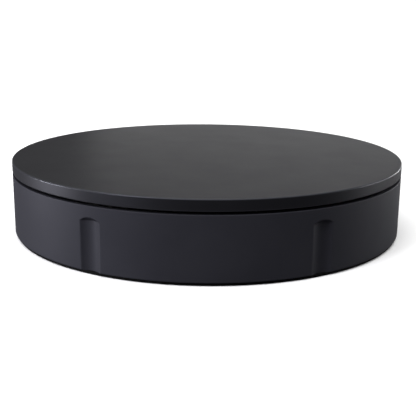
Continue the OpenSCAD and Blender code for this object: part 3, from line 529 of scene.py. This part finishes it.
# %% Make the wall
wall_low, wall_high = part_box("housing")
foot_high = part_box("foot_ring")[1]
wall_r = wall_high.x / MM
wall_z0, wall_z1 = wall_low.z / MM, wall_high.z / MM
wall_t, rim_w, rim_t = 3.5, 16.2, 3.0
flutes, flute_w, flute_depth, flute_land = 6, 10.6, 1.8, 5.0
cutter_r = ((flute_w / 2) ** 2 + flute_depth ** 2) / (2 * flute_depth)
cone_z = wall_z1 - flute_land - flute_depth
arch_rows = [(wall_r, cone_z + flute_depth * k / 8, 0) for k in range(-1, 10)]
lower_rows = [(wall_r, wall_z0 + (cone_z - wall_z0) * k / 5, 0) for k in range(1, 5)]

wall_outline = soften(
    [(wall_r - wall_t, wall_z0, 0.2), (wall_r, wall_z0, 0.45)] + lower_rows + arch_rows
    + [(wall_r, wall_z1, 0.25), (wall_r - rim_w, wall_z1, 0.3), (wall_r - rim_w, wall_z1 - rim_t, 0.3),
       (wall_r - wall_t, wall_z1 - rim_t, 0)], steps=4)
turned_wall = spin("turned_wall", wall_outline, 960, groups=flutes, crowd=0.82)
wall = run_tree("fluted_wall", turned_wall, flute_tree(), {
    "Flutes": float(flutes), "Cutter Radius": cutter_r * MM, "Cone Start": cone_z * MM,
    "Cutter Distance": (wall_r - flute_depth + cutter_r) * MM, "Finish": housing_finish})
print("wall:", len(wall.polygons), "faces, cutter radius", round(cutter_r, 2), "mm")

# %% [markdown]
# ## The connector recess
# At the back the wall is cut away from below for the sockets, and a frame stands behind the cut with
# a slot that holds the connector panel. A Boolean modifier is the plain way to take a block out of a
# wall: the exact solver keeps clean edges. The frame is first trimmed to the round of the wall.

# %% Cut the recess
def block(low, high):
    """A mesh box between two corners given in mm."""
    shape = bmesh.new()
    bmesh.ops.create_cube(shape, size=1.0)
    for vert in shape.verts:
        for axis in range(3):
            vert.co[axis] = (low[axis] if vert.co[axis] < 0 else high[axis]) * MM
    mesh = bpy.data.meshes.new("block")
    shape.to_mesh(mesh)
    shape.free()
    return mesh


def carve(mesh, tools):
    """Applies (operation, tool mesh) pairs one after the other with the exact solver."""
    piece = bpy.data.objects.new("carved", mesh)
    bpy.context.scene.collection.objects.link(piece)
    helpers = []
    for operation, tool_mesh in tools:
        tool = bpy.data.objects.new("tool", tool_mesh)
        bpy.context.scene.collection.objects.link(tool)
        helpers.append(tool)
        cut = piece.modifiers.new("cut", "BOOLEAN")
        cut.operation, cut.object, cut.solver = operation, tool, "EXACT"
    done = as_mesh(piece, "carved")
    for tool in helpers:
        bpy.data.objects.remove(tool)
    return done


panel_low, panel_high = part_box("connector_panel")
panel_y0, panel_y1 = panel_low.y / MM, panel_high.y / MM
slot_x = panel_high.x / MM + 0.1
recess_x = slot_x - 1.5
recess_z = panel_high.z / MM - 1.3
frame_x, frame_z0, frame_z1 = recess_x + 4.5, 3.2, wall_z1 - rim_t - 2.8
round_trim = spin("trim", [(0, frame_z0 - 1), (wall_r - wall_t + 1, frame_z0 - 1), (wall_r - wall_t + 1, frame_z1 + 1),
                  (0, frame_z1 + 1)], 240)
slot_frame = carve(block((-frame_x, panel_y0 - 1.5, frame_z0), (frame_x, wall_r, frame_z1)),
                   [("INTERSECT", round_trim)])
housing_mesh = carve(wall, [
    ("UNION", slot_frame),
    ("DIFFERENCE", block((-recess_x, panel_y0 - 10, -5), (recess_x, wall_r + 5, recess_z))),
    ("DIFFERENCE", block((-slot_x, panel_y0 - 0.1, -5), (slot_x, panel_y1 + 0.1, recess_z + 1.5)))])
housing = join_frame("fluted_housing", housing_mesh, "base", housing_finish, ["housing"], corner=27.0)
print("recess", round(2 * recess_x, 1), "mm wide,", round(recess_z, 1), "mm high")

# %% [markdown]
# ## The foot ring
# A flat ring of solid rubber lies under the wall and holds in a groove of the bottom plate. Its lower
# edges are rounded well, as moulded rubber is, and it is set in a little from the wall, so that it
# shows only as a dark line. Its colour is painted nearly black, darker than rubber, as painted shadow
# for the dark line under the drum.

# %% Make the foot ring
foot_r, foot_w, foot_h = foot_high.x / MM, 6.2, wall_z0
rib_r = foot_r - foot_w / 2 - 1
foot_outline = soften([
    (foot_r - foot_w, 0, 0.4), (foot_r, 0, 0.4), (foot_r, foot_h, 0.15), (rib_r + 1.2, foot_h, 0),
    (rib_r + 1.2, foot_h + 0.8, 0.2), (rib_r, foot_h + 0.8, 0.2), (rib_r, foot_h, 0), (foot_r - foot_w, foot_h, 0.15)],
    steps=3, hold=0.08)
# the ring's near-black colour is painted shadow for the line under the drum
foot = join_frame("rubber_foot_ring", spin("rubber_foot_ring", foot_outline, 240), "base", foot_rubber_painted_shadow, ["foot_ring"])

# %% [markdown]
# ## Screws and balls, with Geometry Nodes
# Screws and bearing balls are the same small piece again and again at equal steps round a circle. One
# tree places a piece on a circle of points: it takes the piece as its own geometry, puts a copy on
# each point, turns it to face outwards, and makes the copies real.

# %% The tree for pieces round a circle
def circle_tree():
    """Geometry Nodes group: copies of the object's own mesh at equal steps round a circle."""
    tree = bpy.data.node_groups.new("round_the_circle", "GeometryNodeTree")
    tree.interface.new_socket("Geometry", in_out="OUTPUT", socket_type="NodeSocketGeometry")
    tree.interface.new_socket("Geometry", in_out="INPUT", socket_type="NodeSocketGeometry")
    tree.interface.new_socket("Count", in_out="INPUT", socket_type="NodeSocketInt").default_value = 6
    for name in ("Radius", "Height", "Start Angle"):
        tree.interface.new_socket(name, in_out="INPUT", socket_type="NodeSocketFloat")
    tree.interface.new_socket("Finish", in_out="INPUT", socket_type="NodeSocketMaterial")
    given = tree.nodes.new("NodeGroupInput").outputs
    circle = node(tree, "GeometryNodeMeshCircle", {"Vertices": given["Count"], "Radius": given["Radius"]})
    turn = node(tree, "ShaderNodeCombineXYZ", {"Z": given["Start Angle"]})
    lift = node(tree, "ShaderNodeCombineXYZ", {"Z": given["Height"]})
    placed = node(tree, "GeometryNodeTransform", {"Geometry": circle.outputs[0], "Translation": lift.outputs[0],
                  "Rotation": turn.outputs[0]})
    spot = node(tree, "ShaderNodeSeparateXYZ", {0: node(tree, "GeometryNodeInputPosition").outputs[0]}).outputs
    facing = node(tree, "ShaderNodeMath", {0: spot["Y"], 1: spot["X"]}, operation="ARCTAN2")
    spun = node(tree, "ShaderNodeCombineXYZ", {"Z": facing.outputs[0]})
    copies = node(tree, "GeometryNodeInstanceOnPoints", {"Points": placed.outputs[0], "Instance": given["Geometry"],
                  "Rotation": spun.outputs[0]})
    real = node(tree, "GeometryNodeRealizeInstances", {"Geometry": copies.outputs[0]})
    done = node(tree, "GeometryNodeSetMaterial", {"Geometry": real.outputs[0], "Material": given["Finish"]})
    node(tree, "NodeGroupOutput", {0: done.outputs[0]})
    return tree


ring_of = circle_tree()
print("trees:", ", ".join(group.name for group in bpy.data.node_groups))

# %% [markdown]
# A countersunk screw is a turned piece as well: a shallow cone with a softened rim, a shank, and a
# hexagon pressed into its face. The hexagon is cut with the same Boolean helper as the recess.

# %% One screw and one ball
def screw(head_r, shank_r, sink, length, socket_r):
    """A countersunk screw that points up, with its face at height 0 and a hexagon socket 1.1 mm deep."""
    outline = [(0, 0, 0), (head_r, 0, 0.06), (shank_r, sink, 0), (shank_r, length, 0.2), (0, length, 0)]
    body = spin("screw", soften(outline, steps=3, hold=0.03), 32)
    hexagon = spin("hexagon", [(0, -1), (socket_r, -1), (socket_r, 1.1), (0, 1.1)], 6)
    return carve(body, [("DIFFERENCE", hexagon)])


def ball(radius):
    """A ball of a few dozen faces, smooth in its shading."""
    shape = bmesh.new()
    bmesh.ops.create_icosphere(shape, subdivisions=3, radius=radius * MM)
    mesh = bpy.data.meshes.new("ball")
    shape.to_mesh(mesh)
    shape.free()
    return mesh


case_low, case_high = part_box("case_screws")
case_ring = case_high.x / MM - 3
case_screws = run_tree("case_screws_round", screw(3, 1.5, 1.6, (case_high.z - case_low.z) / MM, 1.14), ring_of,
                       {"Count": 6, "Radius": case_ring * MM, "Height": case_low.z, "Finish": screw_black})
join_frame("countersunk_case_screws", case_screws, "base", screw_black, ["case_screws"])

flange_low, flange_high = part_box("spindle_screws")
spindle_screws = run_tree("spindle_screws_round", screw(3, 1.5, 1.6, (flange_high.z - flange_low.z) / MM, 1.14),
                          ring_of, {"Count": 4, "Radius": 16 * MM, "Height": flange_low.z,
                                    "Start Angle": math.radians(45), "Finish": zinc_plate})
join_frame("countersunk_spindle_screws", spindle_screws, "turntable", zinc_plate, ["spindle_screws"])

# %% Balls of the two bearings
def ball_row(name, stands_for, body, ball_d, count):
    """The balls of one bearing, at the height and on the circle where the design has them."""
    low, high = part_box(stands_for)
    circle = high.x - ball_d * MM / 2
    mesh = run_tree(name, ball(ball_d / 2), ring_of,
                    {"Count": count, "Radius": circle, "Height": (low.z + high.z) / 2, "Finish": ball_steel})
    return join_frame(name, mesh, body, ball_steel, [stands_for], corner=80.0)


race_circle = (race_high.x / MM) - 6
ball_row("ring_bearing_balls", "ball_ring_balls", "ring_bearing_cage", 4.0, int(2 * math.pi * race_circle / 15))
ball_row("hub_bearing_ball_row", "hub_bearing_balls", "hub_cage", 3.0, 10)

# %% [markdown]
# ## Sockets and switch
# These four are what a hand meets at the back, so they get the shapes of the real parts. The data
# socket is a shell of thin nickel-plated sheet bent to a flat oval, with a tongue inside. The power
# socket is a moulded block with a round nose and a split centre pin. The switch has a raised bezel
# with soft corners and a rocker with a hollowed face.

# %% An outline pushed along +Y
def along_y(name, outline, y0, y1, bevel=0.0, segments=3):
    """A solid whose (x, z) outline in mm is pushed from y0 to y1, with its edges rounded."""
    shape = bmesh.new()
    front = shape.faces.new([shape.verts.new((x * MM, y1 * MM, z * MM)) for x, z in outline])
    pushed = bmesh.ops.extrude_face_region(shape, geom=[front])
    moved = [v for v in pushed["geom"] if isinstance(v, bmesh.types.BMVert)]
    bmesh.ops.translate(shape, verts=moved, vec=(0, (y0 - y1) * MM, 0))
    bmesh.ops.recalc_face_normals(shape, faces=shape.faces)
    if bevel:
        edges = [e for e in shape.edges if e.calc_face_angle(0) > math.radians(40)]
        bmesh.ops.bevel(shape, geom=edges, offset=bevel * MM, segments=segments, affect="EDGES", profile=0.5,
                        clamp_overlap=True)
    mesh = bpy.data.meshes.new(name)
    shape.to_mesh(mesh)
    shape.free()
    return mesh


def oval(x, z, w, h, steps=12):
    """Points of a flat oval with round ends, w wide and h high, centred on (x, z)."""
    ends = []
    for side in (1, -1):
        for k in range(steps + 1):
            a = math.pi * k / steps - math.pi / 2
            ends.append((x + side * ((w - h) / 2 + h / 2 * math.cos(a)), z + side * h / 2 * math.sin(a)))
    return ends


def rounded_box(x, z, w, h, r, steps=5):
    """Points of a rectangle with round corners, centred on (x, z)."""
    points = []
    for corner, (sx, sz) in enumerate(((1, -1), (1, 1), (-1, 1), (-1, -1))):
        for k in range(steps + 1):
            a = math.radians(-90 + 90 * corner + 90 * k / steps)
            points.append((x + sx * (w / 2 - r) + r * math.cos(a), z + sz * (h / 2 - r) + r * math.sin(a)))
    return points


# %% Data socket and power socket
usb_low, usb_high = (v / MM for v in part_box("usb_socket"))
usb_z, usb_h, usb_w = (usb_low.z + usb_high.z) / 2, usb_high.z - usb_low.z, usb_high.x - usb_low.x
hole = along_y("hole", oval(0, usb_z, usb_w - 0.6, usb_h - 0.6), usb_low.y + 1, usb_high.y + 1)
shell = carve(along_y("shell", oval(0, usb_z, usb_w, usb_h), usb_low.y, usb_high.y, 0.08, 2), [("DIFFERENCE", hole)])
join_frame("data_socket_shell", shell, "base", nickel_plate, ["usb_socket"], corner=40.0)

tongue_low, tongue_high = (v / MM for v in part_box("usb_tongue"))
tongue_z = (tongue_low.z + tongue_high.z) / 2
tongue = along_y("tongue", rounded_box(0, tongue_z, tongue_high.x - tongue_low.x, tongue_high.z - tongue_low.z, 0.2),
                 tongue_low.y, tongue_high.y, 0.12, 2)
join_frame("data_socket_tongue", tongue, "base", nylon_black, ["usb_tongue"], corner=40.0)

dc_low, dc_high = (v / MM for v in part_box("dc_socket"))
pin_low, pin_high = (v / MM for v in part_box("dc_socket_pin"))
dc_x, dc_z, nose_r = (dc_low.x + dc_high.x) / 2, (pin_low.z + pin_high.z) / 2, 4.1


def disc_outline(x, z, radius, count=48):
    return [(x + radius * math.cos(2 * math.pi * k / count), z + radius * math.sin(2 * math.pi * k / count))
            for k in range(count)]


body_y1 = panel_y0 - 0.4
power = carve(along_y("power", rounded_box(dc_x, (dc_low.z + dc_high.z) / 2, dc_high.x - dc_low.x, dc_high.z - dc_low.z,
                      0.5), dc_low.y, body_y1, 0.2, 2), [
    ("UNION", along_y("nose", disc_outline(dc_x, dc_z, nose_r), body_y1 - 1, dc_high.y, 0.25, 3)),
    ("DIFFERENCE", along_y("bore", disc_outline(dc_x, dc_z, 3.2), dc_high.y - 10, dc_high.y + 1))])
join_frame("power_socket", power, "base", nylon_black, ["dc_socket"], corner=40.0)
pin = along_y("pin", disc_outline(dc_x, dc_z, 1.0, 24), pin_low.y, pin_high.y, 0.35, 3)
join_frame("power_socket_pin", pin, "base", nickel_plate, ["dc_socket_pin"], corner=40.0)

# %% Rocker switch
switch_low, switch_high = (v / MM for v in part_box("switch_body"))
switch_x, switch_z = (switch_low.x + switch_high.x) / 2, (switch_low.z + switch_high.z) / 2
pivot = frame["joints"][4]["pos_m"]
rocker_y = pivot[1] / MM
cavity_h, half_w = 7.3, 5.3
bezel = along_y("bezel", rounded_box(switch_x, switch_z, 15, 10.5, 1.2), panel_y1, switch_high.y, 0.45, 4)
case = along_y("case", rounded_box(switch_x, switch_z, 13, 8.5, 0.4), switch_low.y, panel_y1 + 0.2, 0.2, 2)
mouth = rounded_box(switch_x, switch_z, 2 * half_w + 1.2, cavity_h, 0.3)
well = along_y("well", mouth, rocker_y - 3.4, switch_high.y + 2)
switch_case = carve(case, [("UNION", bezel), ("DIFFERENCE", well)])
join_frame("switch_case", switch_case, "base", switch_plastic, ["switch_body"], corner=40.0)


def rocker_mesh():
    """The rocker: a paddle with two hollowed faces, tipped as it rests, on a pin that runs up its middle."""
    face = [(-half_w + 2 * half_w * k / 16) for k in range(17)]
    outline = [(x, 2.0 + 0.9 * (x / half_w) ** 2) for x in face]
    outline += [(half_w, -0.2), (2, -2.2), (-2, -2.2), (-half_w, -0.2)]
    shape = bmesh.new()
    bottom = shape.faces.new([shape.verts.new((x * MM, y * MM, -3.5 * MM)) for x, y in outline])
    pushed = bmesh.ops.extrude_face_region(shape, geom=[bottom])
    moved = [v for v in pushed["geom"] if isinstance(v, bmesh.types.BMVert)]
    bmesh.ops.translate(shape, verts=moved, vec=(0, 0, 7 * MM))
    bmesh.ops.recalc_face_normals(shape, faces=shape.faces)
    edges = [e for e in shape.edges if e.calc_face_angle(0) > math.radians(25)]
    bmesh.ops.bevel(shape, geom=edges, offset=0.35 * MM, segments=3, affect="EDGES", profile=0.5, clamp_overlap=True)
    bmesh.ops.create_cone(shape, cap_ends=True, segments=24, radius1=0.9 * MM, radius2=0.9 * MM, depth=8 * MM)
    shape.transform(Matrix.Translation((switch_x * MM, rocker_y * MM, switch_z * MM))
                    @ Matrix.Rotation(math.radians(-10), 4, "Z"))
    mesh = bpy.data.meshes.new("rocker")
    shape.to_mesh(mesh)
    shape.free()
    return mesh


join_frame("rocker_paddle", rocker_mesh(), "switch_rocker", switch_plastic, ["rocker"], corner=40.0)
print("rocker pivots at", [round(v / MM, 2) for v in pivot])

# %% [markdown]
# ## Pieces whose design shape is right
# The rest keep the shape that the design gave them. A design mesh is loose triangles, so a plain copy
# would look faceted: the copy is merged, its flat faces are joined again, and its corners are broken
# by a small bevel, as deburred sheet metal and moulded plastic are. Only the outside pieces get that;
# what is sealed inside the housing takes a finish directly.

# %% Soften the sheet metal
def softened_copy(name, source, bevel, turn=40.0):
    """A merged copy of a CAD node with its clear corners broken by this many millimetres."""
    shape = bmesh.new()
    shape.from_mesh(frame["nodes"][source].data)
    bmesh.ops.remove_doubles(shape, verts=shape.verts, dist=1e-6)
    bmesh.ops.dissolve_limit(shape, angle_limit=math.radians(0.5), verts=shape.verts, edges=shape.edges)
    edges = [e for e in shape.edges if len(e.link_faces) == 2 and e.calc_face_angle(0) > math.radians(turn)]
    bmesh.ops.bevel(shape, geom=edges, offset=bevel * MM, segments=2, affect="EDGES", profile=0.5, clamp_overlap=True)
    mesh = bpy.data.meshes.new(name)
    shape.to_mesh(mesh)
    shape.free()
    return mesh


# a low corner angle keeps wide flat sheet flat in its shading, right up to the broken edge
join_frame("connector_plate", softened_copy("connector_plate", "connector_panel", 0.15), "base", powder_coat,
           ["connector_panel"], corner=15.0)
join_frame("vented_bottom_plate", softened_copy("vented_bottom_plate", "bottom_plate", 0.2), "base", powder_coat,
           ["bottom_plate"], corner=15.0)

# %% Finishes of the pieces that keep their shape
finishes = {
    "chassis": nylon_deck, "switch_terminals": brass, "control_board": board_green,
    "board_screws": zinc_plate, "controller_chip": chip_epoxy, "motor_driver": chip_epoxy,
    "driver_heatsink": bare_aluminium, "capacitors": sleeve, "board_parts": ferrite, "motor_header": nylon_natural,
    "cable_plugs": nylon_natural, "motor_cable": cable_grey, "cable_clips": nylon_natural,
    "switch_header": nylon_natural, "switch_leads": wire_red, "motor_can": screw_black, "motor_plate": die_cast,
    "motor_cap": die_cast, "motor_bearings": bearing_steel, "motor_stator": stator_stack, "motor_coils": copper_wire_with_painted_shade,
    "motor_connector": nylon_natural, "motor_screws": zinc_plate, "motor_rotor": laminations,
    "motor_shaft": shaft_steel, "pinion": brass, "lower_race": bearing_steel, "hub_bearing_outer": bearing_steel,
    "bush": bronze, "ball_ring_cage": nylon_natural, "hub_bearing_cage": brass, "upper_race": bearing_steel,
    "spindle": spindle_steel, "hub_bearing_inner": bearing_steel, "drive_wheel": acetal, "wheel_washer": zinc_plate,
    "wheel_screw": zinc_plate,
}
for part, finish in finishes.items():
    mesh = frame["nodes"][part].data
    mesh.materials.clear()
    mesh.materials.append(finish)
print("pieces that keep their shape:", len(finishes))

# %% [markdown]
# ## Floor, light and camera
# The drum stands on a plain white floor that fills the view. Black satin metal shows little of its own
# colour, so the light is what shapes it. The room is dim at the sides and bright overhead. Narrow
# strips to the left and right stand no higher than the drum: they graze the wall, which brings out each flute
# from one side, and they never reach the top, so the top doesn't glare when it is seen across them. A
# long strip behind gives the top its sheen, and two soft panels high on the left lift the front and
# draw the fine bright line along the platter's edge. The floor looks white to the camera and is grey to
# all other rays, so that it doesn't wash out the wall. The world is the same: a white backdrop to look
# at, and a dim room to light by.

# %% Floor
def stage_plane(name, size, place, facing, material):
    """A flat board of the set, which is no part of the object."""
    shape = bmesh.new()
    bmesh.ops.create_grid(shape, x_segments=1, y_segments=1, size=0.5)
    turn = Vector(facing).to_track_quat("Z", "Y").to_matrix().to_4x4()
    shape.transform(Matrix.Translation(place) @ turn @ Matrix.Diagonal((size[0], size[1], 1, 1)))
    mesh = bpy.data.meshes.new(name)
    shape.to_mesh(mesh)
    shape.free()
    mesh.materials.append(material)
    board = bpy.data.objects.new(name, mesh)
    bpy.context.scene.collection.objects.link(board)
    return board


floor_finish, floor_tree, _, _ = new_finish("studio_floor_white", 0.9)
floor_tree.nodes.clear()
white = node(floor_tree, "ShaderNodeBsdfDiffuse", {"Color": paint("fafafa")})
dim = node(floor_tree, "ShaderNodeBsdfDiffuse", {"Color": paint("5a5a5c")})
direct = node(floor_tree, "ShaderNodeLightPath").outputs["Is Camera Ray"]
floor_mix = node(floor_tree, "ShaderNodeMixShader", {0: direct, 1: dim.outputs[0], 2: white.outputs[0]})
node(floor_tree, "ShaderNodeOutputMaterial", {"Surface": floor_mix.outputs[0]})
floor = stage_plane("studio_floor", (400, 400), (0, 0, -0.0001), (0, 0, 1), floor_finish)

print("floor is", floor.dimensions.x, "m wide")

# %% Light
world = bpy.data.worlds.new("studio_room")
bpy.context.scene.world = world
world.use_nodes = True
room = world.node_tree
room.nodes.clear()
look = node(room, "ShaderNodeSeparateXYZ", {0: node(room, "ShaderNodeTexCoord").outputs["Generated"]}).outputs
height = node(room, "ShaderNodeMath", {0: look["Z"], 1: 3.0}, operation="POWER")
ceiling = node(room, "ShaderNodeMapRange", {"Value": height.outputs[0], "To Min": 0.05, "To Max": 3.0})
side = node(room, "ShaderNodeMapRange", {"Value": look["X"], "From Min": -1.0, "To Min": 0.8, "To Max": 1.2})
strength = node(room, "ShaderNodeMath", {0: ceiling.outputs[0], 1: side.outputs[0]}, operation="MULTIPLY")
walls = node(room, "ShaderNodeBackground", {"Color": paint("ffffff"), "Strength": strength.outputs[0]})
backdrop = node(room, "ShaderNodeBackground", {"Color": paint("ffffff"), "Strength": 1.0})
seen = node(room, "ShaderNodeLightPath").outputs["Is Camera Ray"]
both = node(room, "ShaderNodeMixShader", {0: seen, 1: walls.outputs[0], 2: backdrop.outputs[0]})
node(room, "ShaderNodeOutputWorld", {"Surface": both.outputs[0]})
bpy.context.scene.view_settings.view_transform = "Standard"


def soft_box(name, place, aim, size, power, tint="ffffff"):
    """A rectangular area light at place that faces aim, with its size in metres and its power in watts."""
    light = bpy.data.lights.new(name, "AREA")
    light.shape, light.size, light.size_y, light.energy = "RECTANGLE", size[0], size[1], power
    light.color = paint(tint)[:3]
    lamp = bpy.data.objects.new(name, light)
    lamp.location = place
    lamp.rotation_mode = "QUATERNION"
    lamp.rotation_quaternion = (Vector(aim) - Vector(place)).to_track_quat("-Z", "Y")
    lamp.visible_camera = False
    bpy.context.scene.collection.objects.link(lamp)
    return lamp


# a low strip stands on the floor and is no taller than the drum, so its light never reaches the top
strip_z, strip_size = 0.019, (0.3, 0.034)
drum_foot, cool_white = (0, 0, 0.02), "f8f8ff"
for name, x, y, power, tint in (("low_strip_left", -0.85, -0.04, 5.9, cool_white),
                                ("low_strip_front_left", -0.62, -0.58, 1.2, cool_white),
                                ("low_strip_right", 0.85, 0.12, 1.7, "ffffff"),
                                ("low_strip_back_right", 0.8, 0.7, 1.4, "ffffff")):
    soft_box(name, (x, y, strip_z), (0, 0, strip_z), strip_size, power, tint)
soft_box("panel_front_left", (-0.5, -0.5, 0.5), drum_foot, (0.3, 0.3), 3.4, cool_white)
soft_box("edge_light_above", (-0.35, -0.5, 0.75), (0, 0, 0.03), (0.5, 0.4), 1.6)
soft_box("strip_behind", (0.8, 1.5, 0.09), (0.3, 0, 0.1), (2.4, 0.18), 6.3)
print("lights:", ", ".join(light.name for light in bpy.data.lights))

# %% Camera
camera_data = bpy.data.cameras.new("camera")
camera_data.lens, camera_data.sensor_width = 68.8, 36.0
camera_data.clip_start, camera_data.clip_end = 0.01, 1000.0
camera = bpy.data.objects.new("camera", camera_data)
camera.rotation_mode = "QUATERNION"
camera.location = (0.0, -0.4123, 0.1162)
looking = Vector((0.0017, 0.9671, -0.2544)).to_track_quat("-Z", "Y")
camera.rotation_quaternion = looking @ Matrix.Rotation(math.radians(0.556), 3, "Z").to_quaternion()
bpy.context.scene.collection.objects.link(camera)
bpy.context.scene.camera = camera
print("camera is", round(camera.location.length, 3), "m from the base")
